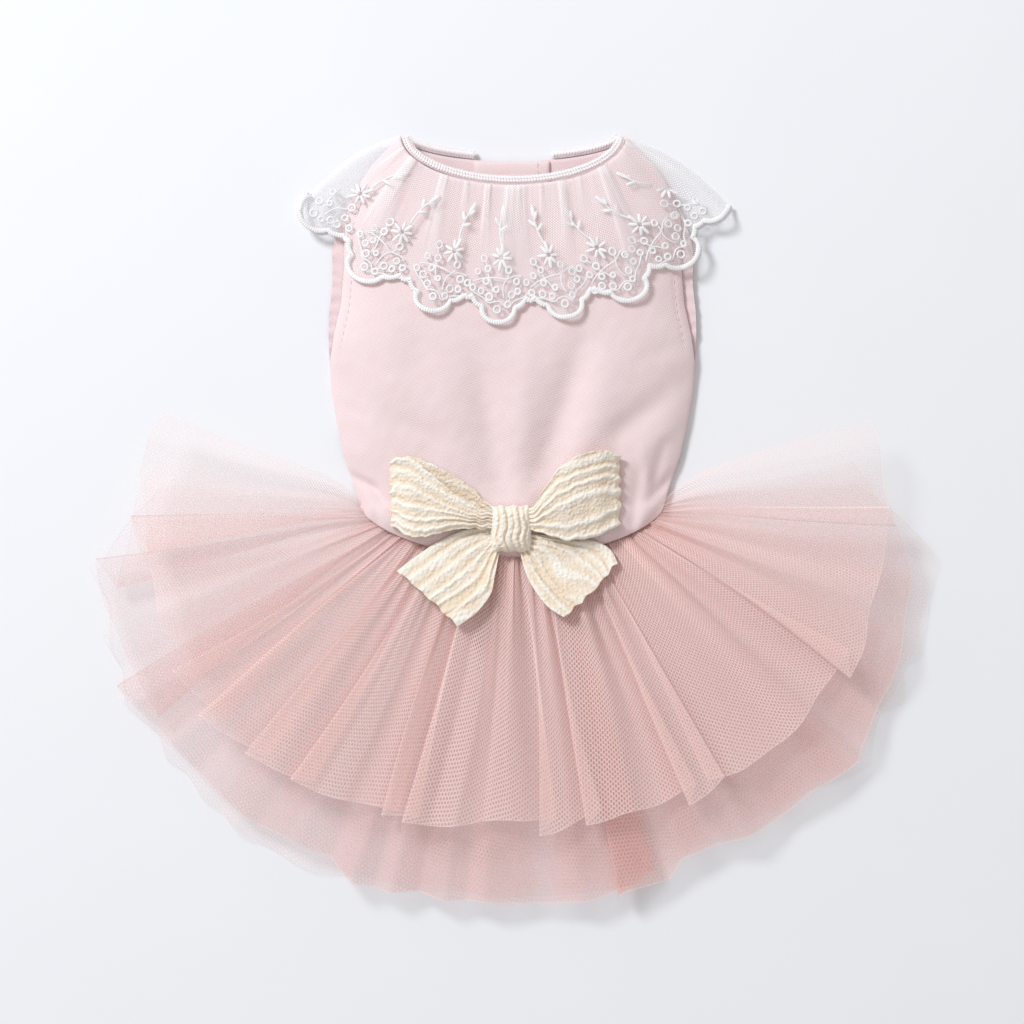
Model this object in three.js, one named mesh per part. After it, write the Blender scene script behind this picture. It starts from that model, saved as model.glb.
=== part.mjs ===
// Pet dress, laid flat with its back panel up: knit bodice, lace collar, three tulle layers and a bow.
// Millimetres, +Z up, neck towards +Y. The origin is under the middle of the dress, on the surface.
import * as THREE from "three";
import { mergeVertices } from "three/addons/utils/BufferGeometryUtils.js";

// Cloth thickness and the clearance kept where two pieces are sewn together
const KNIT = 1.2;
const LACE = 1.0;
const TULLE = 1.0;
const BOW_CLOTH = 1.1;
const SEAM_GAP = 0.3;

// Neck opening: two half ellipses that share their corners, the belly side cut higher
const NECK_Y = 157;
const NECK_HALF = 46;
const NECK_DROP_BACK = 20.5;
const NECK_DROP_BELLY = 10.5;
const BINDING = 1.6;
const BINDING_GAP = 0.5;

// Waist seam of the back panel: a curve between a parabola and half an ellipse, towards the tail
const WAIST_Y = 6;
const WAIST_HALF = 62.5;
const WAIST_DROP = 25.3;
const WAIST_ROUND = 0.42;
const BELLY_HEM_DROP = 8;

// Middle of the skirt's fan, and the ellipse about it that the waist seam keeps close to
const FAN_Y = 12.7;
const FAN_SEAM_HALF = 63.5;
const FAN_SEAM_DROP = 32;

// Placket of the belly side, with its hook and loop tape inside
const PLACKET_HALF = 15.5;
const CENTRE = -0.4;

const lerp = THREE.MathUtils.lerp;
const clamp = THREE.MathUtils.clamp;
const rad = THREE.MathUtils.degToRad;

// Half width of each panel from neck to waist, and how high the back panel stands there
const BACK_SIDE = [
  // y, half width, height of the edge, rise of the middle
  { y: 157.0, half: 46.0, edge: 4.0, rise: 5.6 },
  { y: 145.0, half: 58.0, edge: 3.4, rise: 6.6 },
  { y: 134.0, half: 65.0, edge: 3.2, rise: 7.2 },
  { y: 122.0, half: 69.0, edge: 3.2, rise: 7.6 },
  { y: 103.0, half: 69.2, edge: 3.2, rise: 8.0 },
  { y: 88.0, half: 70.5, edge: 3.2, rise: 8.4 },
  { y: 74.0, half: 73.6, edge: 3.0, rise: 8.6 },
  { y: 64.0, half: 75.0, edge: 2.2, rise: 9.2 },
  { y: 52.0, half: 74.2, edge: 1.5, rise: 9.4 },
  { y: 40.0, half: 72.2, edge: 1.5, rise: 8.8 },
  { y: 26.0, half: 69.2, edge: 1.5, rise: 7.6 },
  { y: 15.0, half: 65.4, edge: 1.5, rise: 6.8 },
  { y: 6.0, half: 62.5, edge: 1.5, rise: 6.4 },
  { y: -20, half: 62.5, edge: 1.5, rise: 5.4 },
];
const BELLY_SIDE = [
  // y, half width, height of the underside, which lies on the lace near the neck
  { y: 157.0, half: 46.0, edge: 1.3 },
  { y: 145.0, half: 58.0, edge: 1.3 },
  { y: 134.0, half: 65.0, edge: 1.3 },
  { y: 122.0, half: 71.0, edge: 1.3 },
  { y: 110.0, half: 74.2, edge: 1.3 },
  { y: 96.0, half: 74.0, edge: 1.3 },
  { y: 84.0, half: 75.4, edge: 1.3 },
  { y: 75.0, half: 75.6, edge: 1.3 },
  { y: 66.0, half: 75.2, edge: 0.0 },
  { y: 54.0, half: 74.3, edge: 0.0 },
  { y: 40.0, half: 72.2, edge: 0.0 },
  { y: 13.5, half: 64.6, edge: 0.0 },
];

// Soft folds of the back panel: from the waist up, how deep and how wide
const BODICE_FOLDS = [
  { x0: 44, y0: 36, x1: 70, y1: 58, depth: -1.3, width: 5 },
  { x0: 50, y0: 4, x1: 66, y1: 40, depth: 1.0, width: 6 },
  { x0: 12, y0: 20, x1: 30, y1: 74, depth: -1.4, width: 7 },
  { x0: -8, y0: 16, x1: -18, y1: 74, depth: -1.1, width: 8 },
  { x0: 26, y0: 22, x1: 58, y1: 76, depth: 0.8, width: 8 },
  { x0: -34, y0: 30, x1: -68, y1: 56, depth: -1.0, width: 7 },
  { x0: -40, y0: 66, x1: -48, y1: 100, depth: -0.9, width: 8 },
];

// Scallops of the collar: where the low point of each lies about the neck, and how far out
const COLLAR_LOBES = [
  { at: 18.5, reach: 93.2, lift: 0.5 },
  { at: 35.0, reach: 90.2, lift: 0.9 },
  { at: 53.0, reach: 84.2, lift: 0.3 },
  { at: 73.0, reach: 78.0, lift: 0.8 },
  { at: 94.8, reach: 77.2, lift: 0.4 },
  { at: 116.0, reach: 79.9, lift: 1.0 },
  { at: 138.0, reach: 87.0, lift: 0.3 },
  { at: 158.5, reach: 93.5, lift: 0.7 },
];
const COLLAR_START = 17.7;
const COLLAR_END = 164;
const LOBE_HALF = 5.4;
const LOBE_DEPTH = 6.5;
const SPAN_DEPTH = 10;

// Tulle: the band of height that each layer keeps at the waist and at its hem
const LAYERS = [
  { name: "tulle_bottom", waist: 0.0, low: 0.0, high: 4.3 },
  { name: "tulle_middle", waist: 1.5, low: 4.9, high: 11.4 },
  { name: "tulle_top", waist: 3.0, low: 12.0, high: 19.4 },
];
const WAIST_LIFT = 5.5;
const BAND_RUN = 75;
// Steps from the waist to the hem, and how far the gathers have turned into folds there
const STATIONS = [
  { out: 0, folded: 0 },
  { out: 0.06, folded: 0 },
  { out: 0.16, folded: 0 },
  { out: 0.32, folded: 0.15 },
  { out: 0.44, folded: 0.55 },
  { out: 0.58, folded: 1 },
  { out: 0.78, folded: 1 },
  { out: 1, folded: 1 },
];

// Creases of each tulle layer in the order of the cloth, clockwise from the right armpit:
// at is the direction of the crease at the hem in degrees, reach its distance, level its height
const CREASES = {
  tulle_top: [
    { at: -10.4, reach: 149, level: 0.45 },
    { at: -6.5, reach: 150, level: 0.95 },
    { at: -1.5, reach: 151, level: 0.6 },
    { at: 6.0, reach: 157, level: 0.0 },
    { at: 3.0, reach: 155, level: 1.0 },
    { at: 8.1, reach: 154, level: 0.8 },
    { at: 13.6, reach: 154, level: 0.5 },
    { at: 18.0, reach: 155, level: 0.9 },
    { at: 23.0, reach: 157, level: 0.6 },
    { at: 29.6, reach: 159, level: 1.0 },
    { at: 25.5, reach: 152, level: 0.0 },
    { at: 36.3, reach: 152, level: 0.7 },
    { at: 42.8, reach: 152, level: 0.55 },
    { at: 51.0, reach: 149, level: 1.0 },
    { at: 56.4, reach: 144, level: 0.0 },
    { at: 53.6, reach: 147, level: 1.0 },
    { at: 61.0, reach: 149, level: 1.0 },
    { at: 58.0, reach: 143, level: 0.0 },
    { at: 69.2, reach: 142, level: 0.75 },
    { at: 73.4, reach: 142, level: 0.5 },
    { at: 77.7, reach: 141, level: 1.0 },
    { at: 74.4, reach: 137, level: 0.0 },
    { at: 85.6, reach: 143, level: 1.0 },
    { at: 82.2, reach: 136, level: 0.0 },
    { at: 90.5, reach: 136, level: 0.7 },
    { at: 95.0, reach: 138, level: 0.5 },
    { at: 99.6, reach: 140, level: 0.95 },
    { at: 104.0, reach: 143, level: 0.55 },
    { at: 108.3, reach: 144, level: 1.0 },
    { at: 105.6, reach: 139, level: 0.0 },
    { at: 111.8, reach: 145, level: 1.0 },
    { at: 109.0, reach: 139, level: 0.0 },
    { at: 118.2, reach: 145, level: 0.8 },
    { at: 122.6, reach: 148, level: 0.5 },
    { at: 127.3, reach: 150, level: 1.0 },
    { at: 123.6, reach: 145, level: 0.0 },
    { at: 130.4, reach: 151, level: 0.7 },
    { at: 135.2, reach: 154, level: 1.0 },
    { at: 131.8, reach: 147, level: 0.0 },
    { at: 140.0, reach: 156, level: 0.7 },
    { at: 144.0, reach: 158, level: 1.0 },
    { at: 141.0, reach: 150, level: 0.0 },
    { at: 147.6, reach: 156, level: 0.6 },
    { at: 151.7, reach: 157, level: 1.0 },
    { at: 148.6, reach: 150, level: 0.0 },
    { at: 160.0, reach: 153, level: 0.75 },
    { at: 167.0, reach: 152, level: 0.4 },
    { at: 171.0, reach: 152, level: 0.8 },
    { at: 173.4, reach: 150, level: 0.0 },
    { at: 175.7, reach: 157, level: 1.0 },
    { at: 182.0, reach: 152, level: 0.55 },
    { at: 187.4, reach: 150, level: 0.95 },
    { at: 191.9, reach: 145, level: 0.5 },
  ],
  tulle_middle: [
    { at: -4.0, reach: 140, level: 0.4 },
    { at: 1.0, reach: 148, level: 0.9 },
    { at: 5.6, reach: 158, level: 0.4 },
    { at: 11.0, reach: 166, level: 0.9 },
    { at: 17.0, reach: 170, level: 0.4 },
    { at: 23.0, reach: 173, level: 0.9 },
    { at: 30.0, reach: 176, level: 0.4 },
    { at: 38.4, reach: 180, level: 1.0 },
    { at: 35.2, reach: 172, level: 0.0 },
    { at: 45.0, reach: 177, level: 0.7 },
    { at: 50.5, reach: 174, level: 0.4 },
    { at: 56.1, reach: 173, level: 1.0 },
    { at: 60.0, reach: 170, level: 0.4 },
    { at: 65.3, reach: 167, level: 0.9 },
    { at: 69.6, reach: 173, level: 0.4 },
    { at: 75.0, reach: 173, level: 1.0 },
    { at: 72.0, reach: 168, level: 0.0 },
    { at: 80.0, reach: 173, level: 0.9 },
    { at: 87.0, reach: 170, level: 0.4 },
    { at: 93.8, reach: 171, level: 0.9 },
    { at: 96.4, reach: 171, level: 0.5 },
    { at: 99.3, reach: 172, level: 1.0 },
    { at: 103.0, reach: 170, level: 0.3 },
    { at: 106.7, reach: 174, level: 0.9 },
    { at: 109.0, reach: 174, level: 0.5 },
    { at: 112.0, reach: 176, level: 1.0 },
    { at: 116.0, reach: 168, level: 0.3 },
    { at: 121.0, reach: 171, level: 0.8 },
    { at: 127.0, reach: 173, level: 0.3 },
    { at: 133.2, reach: 174, level: 0.9 },
    { at: 138.0, reach: 174, level: 0.4 },
    { at: 143.0, reach: 174, level: 0.9 },
    { at: 148.0, reach: 177, level: 0.4 },
    { at: 153.4, reach: 182, level: 1.0 },
    { at: 150.6, reach: 176, level: 0.0 },
    { at: 158.5, reach: 173, level: 0.6 },
    { at: 164.1, reach: 175, level: 1.0 },
    { at: 161.2, reach: 169, level: 0.0 },
    { at: 168.0, reach: 165, level: 0.7 },
    { at: 173.0, reach: 158, level: 0.4 },
    { at: 178.0, reach: 154, level: 0.9 },
    { at: 184.0, reach: 145, level: 0.4 },
  ],
  tulle_bottom: [
    { at: -1.0, reach: 140, level: 0.3 },
    { at: 4.0, reach: 158, level: 0.0 },
    { at: 9.1, reach: 176, level: 1.0 },
    { at: 15.0, reach: 177, level: 0.0 },
    { at: 21.8, reach: 180, level: 0.9 },
    { at: 25.0, reach: 177, level: 0.0 },
    { at: 28.2, reach: 179, level: 1.0 },
    { at: 31.5, reach: 177, level: 0.0 },
    { at: 37.5, reach: 182, level: 1.0 },
    { at: 46.0, reach: 173, level: 0.0 },
    { at: 55.0, reach: 169, level: 0.8 },
    { at: 63.0, reach: 165, level: 0.0 },
    { at: 71.0, reach: 168, level: 0.8 },
    { at: 79.0, reach: 168, level: 0.0 },
    { at: 88.0, reach: 166, level: 0.8 },
    { at: 96.0, reach: 167, level: 0.0 },
    { at: 104.0, reach: 168, level: 0.8 },
    { at: 111.0, reach: 171, level: 0.0 },
    { at: 118.0, reach: 177, level: 0.9 },
    { at: 122.4, reach: 179, level: 0.0 },
    { at: 129.0, reach: 181, level: 1.0 },
    { at: 132.0, reach: 179, level: 0.1 },
    { at: 135.0, reach: 181, level: 0.8 },
    { at: 138.6, reach: 179, level: 0.0 },
    { at: 142.1, reach: 181, level: 0.7 },
    { at: 145.2, reach: 177, level: 0.0 },
    { at: 151.6, reach: 184, level: 1.0 },
    { at: 155.0, reach: 177, level: 0.0 },
    { at: 160.2, reach: 178, level: 1.0 },
    { at: 163.8, reach: 174, level: 0.0 },
    { at: 169.3, reach: 176, level: 1.0 },
    { at: 175.0, reach: 158, level: 0.0 },
    { at: 181.0, reach: 145, level: 0.4 },
  ],
};

// The bow: outlines of its pieces from the knot outwards, as seen from above
const BOW_LOOPS = {
  bow_loop_left: [
    // x, then the upper and lower edge of the front layer and of the layer behind it
    { x: -9.4, top: 3.4, bottom: -3.6, backTop: 5.4, backBottom: -2.4 },
    { x: -15.5, top: 5.2, bottom: -4.2, backTop: 11.6, backBottom: -2.4 },
    { x: -24.0, top: 10.2, bottom: -4.6, backTop: 17.4, backBottom: -2.6 },
    { x: -33.5, top: 18.0, bottom: -7.2, backTop: 22.2, backBottom: -4.0 },
    { x: -42.0, top: 25.0, bottom: -7.4, backTop: 25.6, backBottom: -4.6 },
    { x: -49.5, top: 24.0, bottom: -3.4, backTop: 23.6, backBottom: -2.6 },
  ],
  bow_loop_right: [
    { x: 7.9, top: 3.6, bottom: -4.4, backTop: 3.0, backBottom: -3.0 },
    { x: 13.0, top: 12.4, bottom: -6.4, backTop: 11.0, backBottom: -5.0 },
    { x: 20.0, top: 21.4, bottom: -8.8, backTop: 20.0, backBottom: -7.0 },
    { x: 28.5, top: 26.2, bottom: -8.6, backTop: 25.0, backBottom: -7.0 },
    { x: 36.5, top: 27.6, bottom: -6.6, backTop: 26.6, backBottom: -5.2 },
    { x: 43.2, top: 26.2, bottom: -2.4, backTop: 25.4, backBottom: -1.8 },
  ],
};
const BOW_TAILS = {
  bow_tail_left: [
    // the outer and the inner edge of the tail, from the knot to its cut end
    { outX: -9.7, outY: -5.6, inX: -9.7, inY: -16.0 },
    { outX: -20.0, outY: -5.6, inX: -8.6, inY: -24.0 },
    { outX: -30.0, outY: -9.6, inX: -9.0, inY: -31.0 },
    { outX: -40.0, outY: -15.8, inX: -14.6, inY: -38.4 },
    { outX: -47.2, outY: -21.4, inX: -22.4, inY: -44.2 },
  ],
  bow_tail_right: [
    { outX: 9.6, outY: -9.4, inX: 6.9, inY: -14.6 },
    { outX: 24.0, outY: -8.4, inX: 4.4, inY: -22.0 },
    { outX: 33.6, outY: -9.4, inX: 9.2, inY: -30.0 },
    { outX: 40.2, outY: -13.2, inX: 14.6, inY: -36.6 },
    { outX: 43.2, outY: -19.0, inX: 21.0, inY: -40.8 },
  ],
};
const KNOT = { x: -0.8, y: -4.4, halfX: 8.2, halfY: 9.4, rise: 8.2, groove: 0.5 };
const LOOP_RISE = 5.6;

// Value of one column of a table at y, by straight lines between its rows
function column(table, key, y) {
  const next = table.findIndex((row) => row.y <= y);
  if (next === 0) return table[0][key];
  if (next < 0) return table[table.length - 1][key];
  const above = table[next - 1];
  const below = table[next];
  return lerp(below[key], above[key], (y - below.y) / (above.y - below.y));
}

// Height that a fold adds at a place: a soft trough or ridge along its line
function foldHeight(x, y) {
  let sum = 0;
  for (const fold of BODICE_FOLDS) {
    const dx = fold.x1 - fold.x0;
    const dy = fold.y1 - fold.y0;
    const along = clamp(((x - fold.x0) * dx + (y - fold.y0) * dy) / (dx * dx + dy * dy), 0, 1);
    const away = Math.hypot(x - fold.x0 - along * dx, y - fold.y0 - along * dy) / fold.width;
    sum += fold.depth * Math.exp(-away * away) * (1 - 0.6 * along);
  }
  return sum;
}

// How far a cross line of the bodice has risen, from 0 at the side edge to 1 in the middle
function dome(part) {
  return 1 - Math.min(1, Math.abs(part)) ** 3.2;
}

// Underside of the back panel at a place
function backUnderside(x, y) {
  const risen = dome(x / column(BACK_SIDE, "half", y));
  const plain = column(BACK_SIDE, "edge", y) + column(BACK_SIDE, "rise", y) * risen;
  return plain + foldHeight(x, y) * risen;
}

// Lowest and highest point that a tulle layer may have at a place, from where the waist seam is
function tulleBand(layer, x, y) {
  const angle = Math.atan2(FAN_Y - y, x - CENTRE);
  const seam = 1 / Math.hypot(Math.cos(angle) / FAN_SEAM_HALF, Math.sin(angle) / FAN_SEAM_DROP);
  const run = clamp((Math.hypot(x - CENTRE, y - FAN_Y) - seam) / BAND_RUN, 0, 1);
  const open = 1 - (1 - run) ** 2;
  const waist = layer.waist + WAIST_LIFT * dome(Math.cos(angle));
  return { low: lerp(waist, layer.low, open), high: lerp(waist + TULLE, layer.high, open) };
}

// How far a line that bulges to one side has gone, part of the way from its middle to its end:
// a parabola where round is 0 and half an ellipse where it is 1
function bulge(part, round) {
  const room = Math.max(0, 1 - part * part);
  return lerp(room, Math.sqrt(room), round);
}

// Top of whatever lies under the bow: the back panel, or the tulle gathered beside it
function coverTop(x, y) {
  return Math.max(backUnderside(x, y) + KNIT, tulleBand(LAYERS[2], x, y).high);
}

// A closed cloth wall about a grid of points, made thick along the surface or straight up
function clothWall(grid, thick, upright = false) {
  const columns = grid.length;
  const rows = grid[0].length;
  const normals = grid.flatMap((line, i) =>
    line.map((point, j) => {
      const along = grid[Math.min(i + 1, columns - 1)][j].clone().sub(grid[Math.max(i - 1, 0)][j]);
      const out = line[Math.min(j + 1, rows - 1)].clone().sub(line[Math.max(j - 1, 0)]);
      return along.cross(out).normalize();
    }),
  );
  if (upright) {
    const facing = Math.sign(normals.reduce((sum, normal) => sum + normal.z, 0));
    normals.forEach((normal) => normal.set(0, 0, facing));
  }
  const middle = grid.flat();
  const over = middle.map((point, k) => point.clone().addScaledVector(normals[k], thick / 2));
  const under = middle.map((point, k) => point.clone().addScaledVector(normals[k], -thick / 2));
  const points = [...over, ...under];
  const faces = [];
  const quad = (a, b, c, d) => faces.push(a, b, c, a, c, d);
  const at = (i, j) => i * rows + j;
  const low = columns * rows;
  for (let i = 0; i < columns - 1; i += 1) {
    for (let j = 0; j < rows - 1; j += 1) {
      quad(at(i, j), at(i + 1, j), at(i + 1, j + 1), at(i, j + 1));
      quad(low + at(i, j), low + at(i, j + 1), low + at(i + 1, j + 1), low + at(i + 1, j));
    }
    quad(low + at(i, 0), low + at(i + 1, 0), at(i + 1, 0), at(i, 0));
    quad(at(i, rows - 1), at(i + 1, rows - 1), low + at(i + 1, rows - 1), low + at(i, rows - 1));
  }
  const end = columns - 1;
  for (let j = 0; j < rows - 1; j += 1) {
    quad(at(0, j), at(0, j + 1), low + at(0, j + 1), low + at(0, j));
    quad(low + at(end, j), low + at(end, j + 1), at(end, j + 1), at(end, j));
  }
  const geometry = new THREE.BufferGeometry().setFromPoints(points);
  geometry.setIndex(faces);
  geometry.computeVertexNormals();
  return geometry;
}

const dress = new THREE.Group();

function addPiece(name, geometry, colour, roughness) {
  const material = new THREE.MeshStandardMaterial({ color: colour, roughness, metalness: 0 });
  const mesh = new THREE.Mesh(geometry, material);
  mesh.name = name;
  dress.add(mesh);
}

const KNIT_PINK = 0xf0d6d6;
const LACE_WHITE = 0xf8f6f4;
const TULLE_PINK = 0xefc9c4;
const BOW_CREAM = 0xf3e4c4;

// A point on a cross line of a bodice panel: the line dips in the middle, like half an ellipse
// at the neck and at the waist seam, and like a flatter parabola between them
function panelPoint(side, edgeY, dropTop, dropEnd, part, height) {
  const down = (NECK_Y - edgeY) / (NECK_Y - WAIST_Y);
  const round = lerp(1, WAIST_ROUND, down) * (2 * down - 1) ** 8;
  const dip = lerp(dropTop, dropEnd, down) * bulge(part, round);
  const x = CENTRE * down + column(side, "half", edgeY) * part;
  return new THREE.Vector3(x, edgeY - dip, height(x, edgeY - dip));
}

// Back panel: cross lines from the neck to the waist seam, closer together near the waist
const BACK_PARTS = 18;
const backGrid = [];
for (let i = 0; i <= BACK_PARTS; i += 1) {
  const part = -Math.cos((Math.PI * i) / BACK_PARTS);
  const line = [];
  for (const row of BACK_SIDE.slice(0, -1)) {
    const middle = (x, y) => backUnderside(x, y) + KNIT / 2;
    line.push(panelPoint(BACK_SIDE, row.y, NECK_DROP_BACK, WAIST_DROP, part, middle));
  }
  backGrid.push(line);
}
addPiece("back_bodice", clothWall(backGrid, KNIT, true), KNIT_PINK, 0.85);

// Belly panels: two halves that meet under the placket
function bellyTopAt(y) {
  return column(BELLY_SIDE, "edge", y) + KNIT;
}
const BELLY_PARTS = 8;
for (const [name, sign] of [["belly_bodice_left", -1], ["belly_bodice_right", 1]]) {
  const grid = [];
  for (let i = 0; i <= BELLY_PARTS; i += 1) {
    const share = Math.cos((Math.PI * i) / 2 / BELLY_PARTS);
    const line = [];
    for (const row of BELLY_SIDE) {
      const middle = (x, y) => bellyTopAt(y) - KNIT / 2;
      const point = panelPoint(BELLY_SIDE, row.y, NECK_DROP_BELLY, BELLY_HEM_DROP, sign * share, middle);
      point.x = CENTRE + sign * Math.max(SEAM_GAP / 2, Math.abs(point.x - CENTRE));
      line.push(point);
    }
    grid.push(line);
  }
  addPiece(name, clothWall(grid, KNIT, true), KNIT_PINK, 0.85);
}

// Placket strip over the split of the belly, from the neck to the belly hem
const placketGrid = [-1, 1].map((side) =>
  BELLY_SIDE.slice().reverse().map((row) => {
    const down = (NECK_Y - row.y) / (NECK_Y - WAIST_Y);
    const y = row.y - lerp(NECK_DROP_BELLY, BELLY_HEM_DROP, down);
    const nearby = Math.max(bellyTopAt(y - 1), bellyTopAt(y), bellyTopAt(y + 1));
    return new THREE.Vector3(CENTRE + side * PLACKET_HALF, y, nearby + SEAM_GAP + KNIT / 2);
  }),
);
addPiece("front_placket", clothWall(placketGrid, KNIT, true), KNIT_PINK, 0.85);

// Binding of the neck: a round piping that follows the edge
function binding(name, from, to, drop, height) {
  const route = [];
  const bends = 20;
  for (let i = 0; i <= bends; i += 1) {
    const angle = rad(lerp(from, to, i / bends));
    const inward = new THREE.Vector2(-Math.cos(angle) / NECK_HALF, Math.sin(angle) / drop);
    inward.setLength(BINDING + BINDING_GAP);
    const x = NECK_HALF * Math.cos(angle) + inward.x;
    const y = NECK_Y - drop * Math.sin(angle) + inward.y;
    route.push(new THREE.Vector3(x, y, height(x, y)));
  }
  const section = new THREE.Shape().absarc(0, 0, BINDING, 0, Math.PI * 2);
  const extrudePath = new THREE.CatmullRomCurve3(route);
  const steps = Math.round(Math.abs(to - from) / 8);
  const solid = new THREE.ExtrudeGeometry(section, { steps, curveSegments: 4, extrudePath });
  solid.deleteAttribute("normal");
  solid.deleteAttribute("uv");
  const closed = mergeVertices(solid, 1e-4);
  closed.computeVertexNormals();
  addPiece(name, closed, LACE_WHITE, 0.8);
}
const NECK_CORNER = 3;
const UNDER_CORNER = 9;
const PLACKET_ANGLE = 70;
const bindingOver = (x, y) => backUnderside(x, y) + KNIT;
const bindingUnder = () => BINDING + 0.1;
binding("neck_binding", NECK_CORNER, 180 - NECK_CORNER, NECK_DROP_BACK, bindingOver);
binding("neck_binding_under_right", UNDER_CORNER, PLACKET_ANGLE, NECK_DROP_BELLY, bindingUnder);
binding("neck_binding_under_left", 180 - PLACKET_ANGLE, 180 - UNDER_CORNER, NECK_DROP_BELLY, bindingUnder);

// Distance of the scalloped edge from the middle of the neck
function scallopReach(at) {
  const last = COLLAR_LOBES.length - 1;
  const next = COLLAR_LOBES.findIndex((lobe) => lobe.at >= at);
  const right = COLLAR_LOBES[next < 0 ? last : next];
  const left = COLLAR_LOBES[clamp(next < 0 ? last : next - 1, 0, last)];
  const share = right === left ? 0 : (at - left.at) / (right.at - left.at);
  const edge = lerp(left.reach, right.reach, share);
  const lift = lerp(left.lift, right.lift, share);
  const away = Math.min(Math.abs(at - left.at), Math.abs(at - right.at)) / LOBE_HALF;
  const round = LOBE_DEPTH * (1 - Math.sqrt(Math.max(0, 1 - away * away)));
  const span = Math.min(SPAN_DEPTH, LOBE_DEPTH + 5 * (away - 1));
  return { reach: edge - (away < 1 ? round : span), lift, away };
}

// Directions at which the scalloped edge gets a point: round each lobe and on the span between
const LOBE_POINTS = [-0.98, -0.78, -0.34, 0.34, 0.78, 0.98];
const scallopAngles = COLLAR_LOBES.flatMap((lobe, i) => {
  const after = COLLAR_LOBES[i + 1];
  const round = LOBE_POINTS.map((part) => lobe.at + part * LOBE_HALF);
  return after ? [...round, (lobe.at + after.at) / 2] : round;
});

// A point of the collar: from the neck seam outwards, bowed a little beside the shoulder
const SHOULDER_BOW = 4.5;
function collarPoint(at, out, drop, reach) {
  const share = (at - COLLAR_START) / (COLLAR_END - COLLAR_START);
  const neck = Math.PI * share;
  const inX = (NECK_HALF + SEAM_GAP) * Math.cos(neck);
  const inY = NECK_Y - (drop + SEAM_GAP) * Math.sin(neck);
  const x = lerp(inX, reach * Math.cos(rad(at)), out);
  const y = lerp(inY, NECK_Y - reach * Math.sin(rad(at)), out);
  const bow = SHOULDER_BOW * Math.sin(Math.PI * out) * Math.abs(Math.cos(neck)) ** 6;
  return { x, y: y + bow };
}

// Collar over the back panel, gathered at the neck, its ends turned down round the shoulders
const COLLAR_OUT = [0, 0.12, 0.36, 0.68, 1];
const COLLAR_CLEAR = SEAM_GAP + 0.15;
const COLLAR_WAVE = 2.6;
const EDGE_LIFT = 0.6;
const TURN = 1.5;
const TURNED_DOWN = [0, 0.55, 1];
const END_HEIGHT = LACE + SEAM_GAP + 0.1 + LACE / 2;
const inner = scallopAngles.filter((at) => at > COLLAR_START + TURN && at < COLLAR_END - TURN);
const collarAngles = [COLLAR_START, COLLAR_START + TURN, ...inner, COLLAR_END - TURN, COLLAR_END];
const collarGrid = collarAngles.map((at, i) => {
  const fromEnd = Math.min(i, collarAngles.length - 1 - i, 2);
  const { reach, lift, away } = scallopReach(at);
  const wave = COLLAR_WAVE * lift * Math.cos((Math.min(1, away) * Math.PI) / 2);
  return COLLAR_OUT.map((out) => {
    const { x, y } = collarPoint(at, out, NECK_DROP_BACK, reach);
    const flat = backUnderside(x, y) + KNIT + COLLAR_CLEAR + LACE / 2;
    const full = flat + wave * Math.sin(Math.PI * Math.min(0.7, out)) + EDGE_LIFT * out;
    const turned = lerp(END_HEIGHT, full, TURNED_DOWN[fromEnd]);
    return new THREE.Vector3(x, y, lerp(full, turned, Math.min(1, out * 3)));
  });
});
addPiece("lace_collar", clothWall(collarGrid, LACE), LACE_WHITE, 0.8);

// The collar's two ends under the belly, plain and flat on the surface, either side of the placket
function underCollar(name, from, to) {
  const steps = 16;
  const grid = [];
  for (let i = 0; i <= steps; i += 1) {
    const at = lerp(from, to, i / steps);
    const reach = scallopReach(at).reach;
    grid.push([0, 0.34, 0.68, 1].map((out) => {
      const { x, y } = collarPoint(at, out, NECK_DROP_BELLY, reach);
      return new THREE.Vector3(x, y, LACE / 2);
    }));
  }
  addPiece(name, clothWall(grid, LACE, true), LACE_WHITE, 0.8);
}
const UNDER_SPLIT = 4;
const COLLAR_MIDDLE = (COLLAR_START + COLLAR_END) / 2;
underCollar("lace_collar_under_right", COLLAR_START, COLLAR_MIDDLE - UNDER_SPLIT);
underCollar("lace_collar_under_left", COLLAR_MIDDLE + UNDER_SPLIT, COLLAR_END);

// Height of the cloth inside a fold, as a share of the layer's band: a stroke that turns back lies
// between the one above it and the one below it, and those keep clear of it until they have passed
const BACK_HIGH = 0.55;
const BACK_LOW = 0.45;
const PASS_OVER = 0.82;
const PASS_UNDER = 0.2;
const PASS_BY = 0.3;
const BULGE = 0.12;
const BULGE_FROM = 4;

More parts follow.
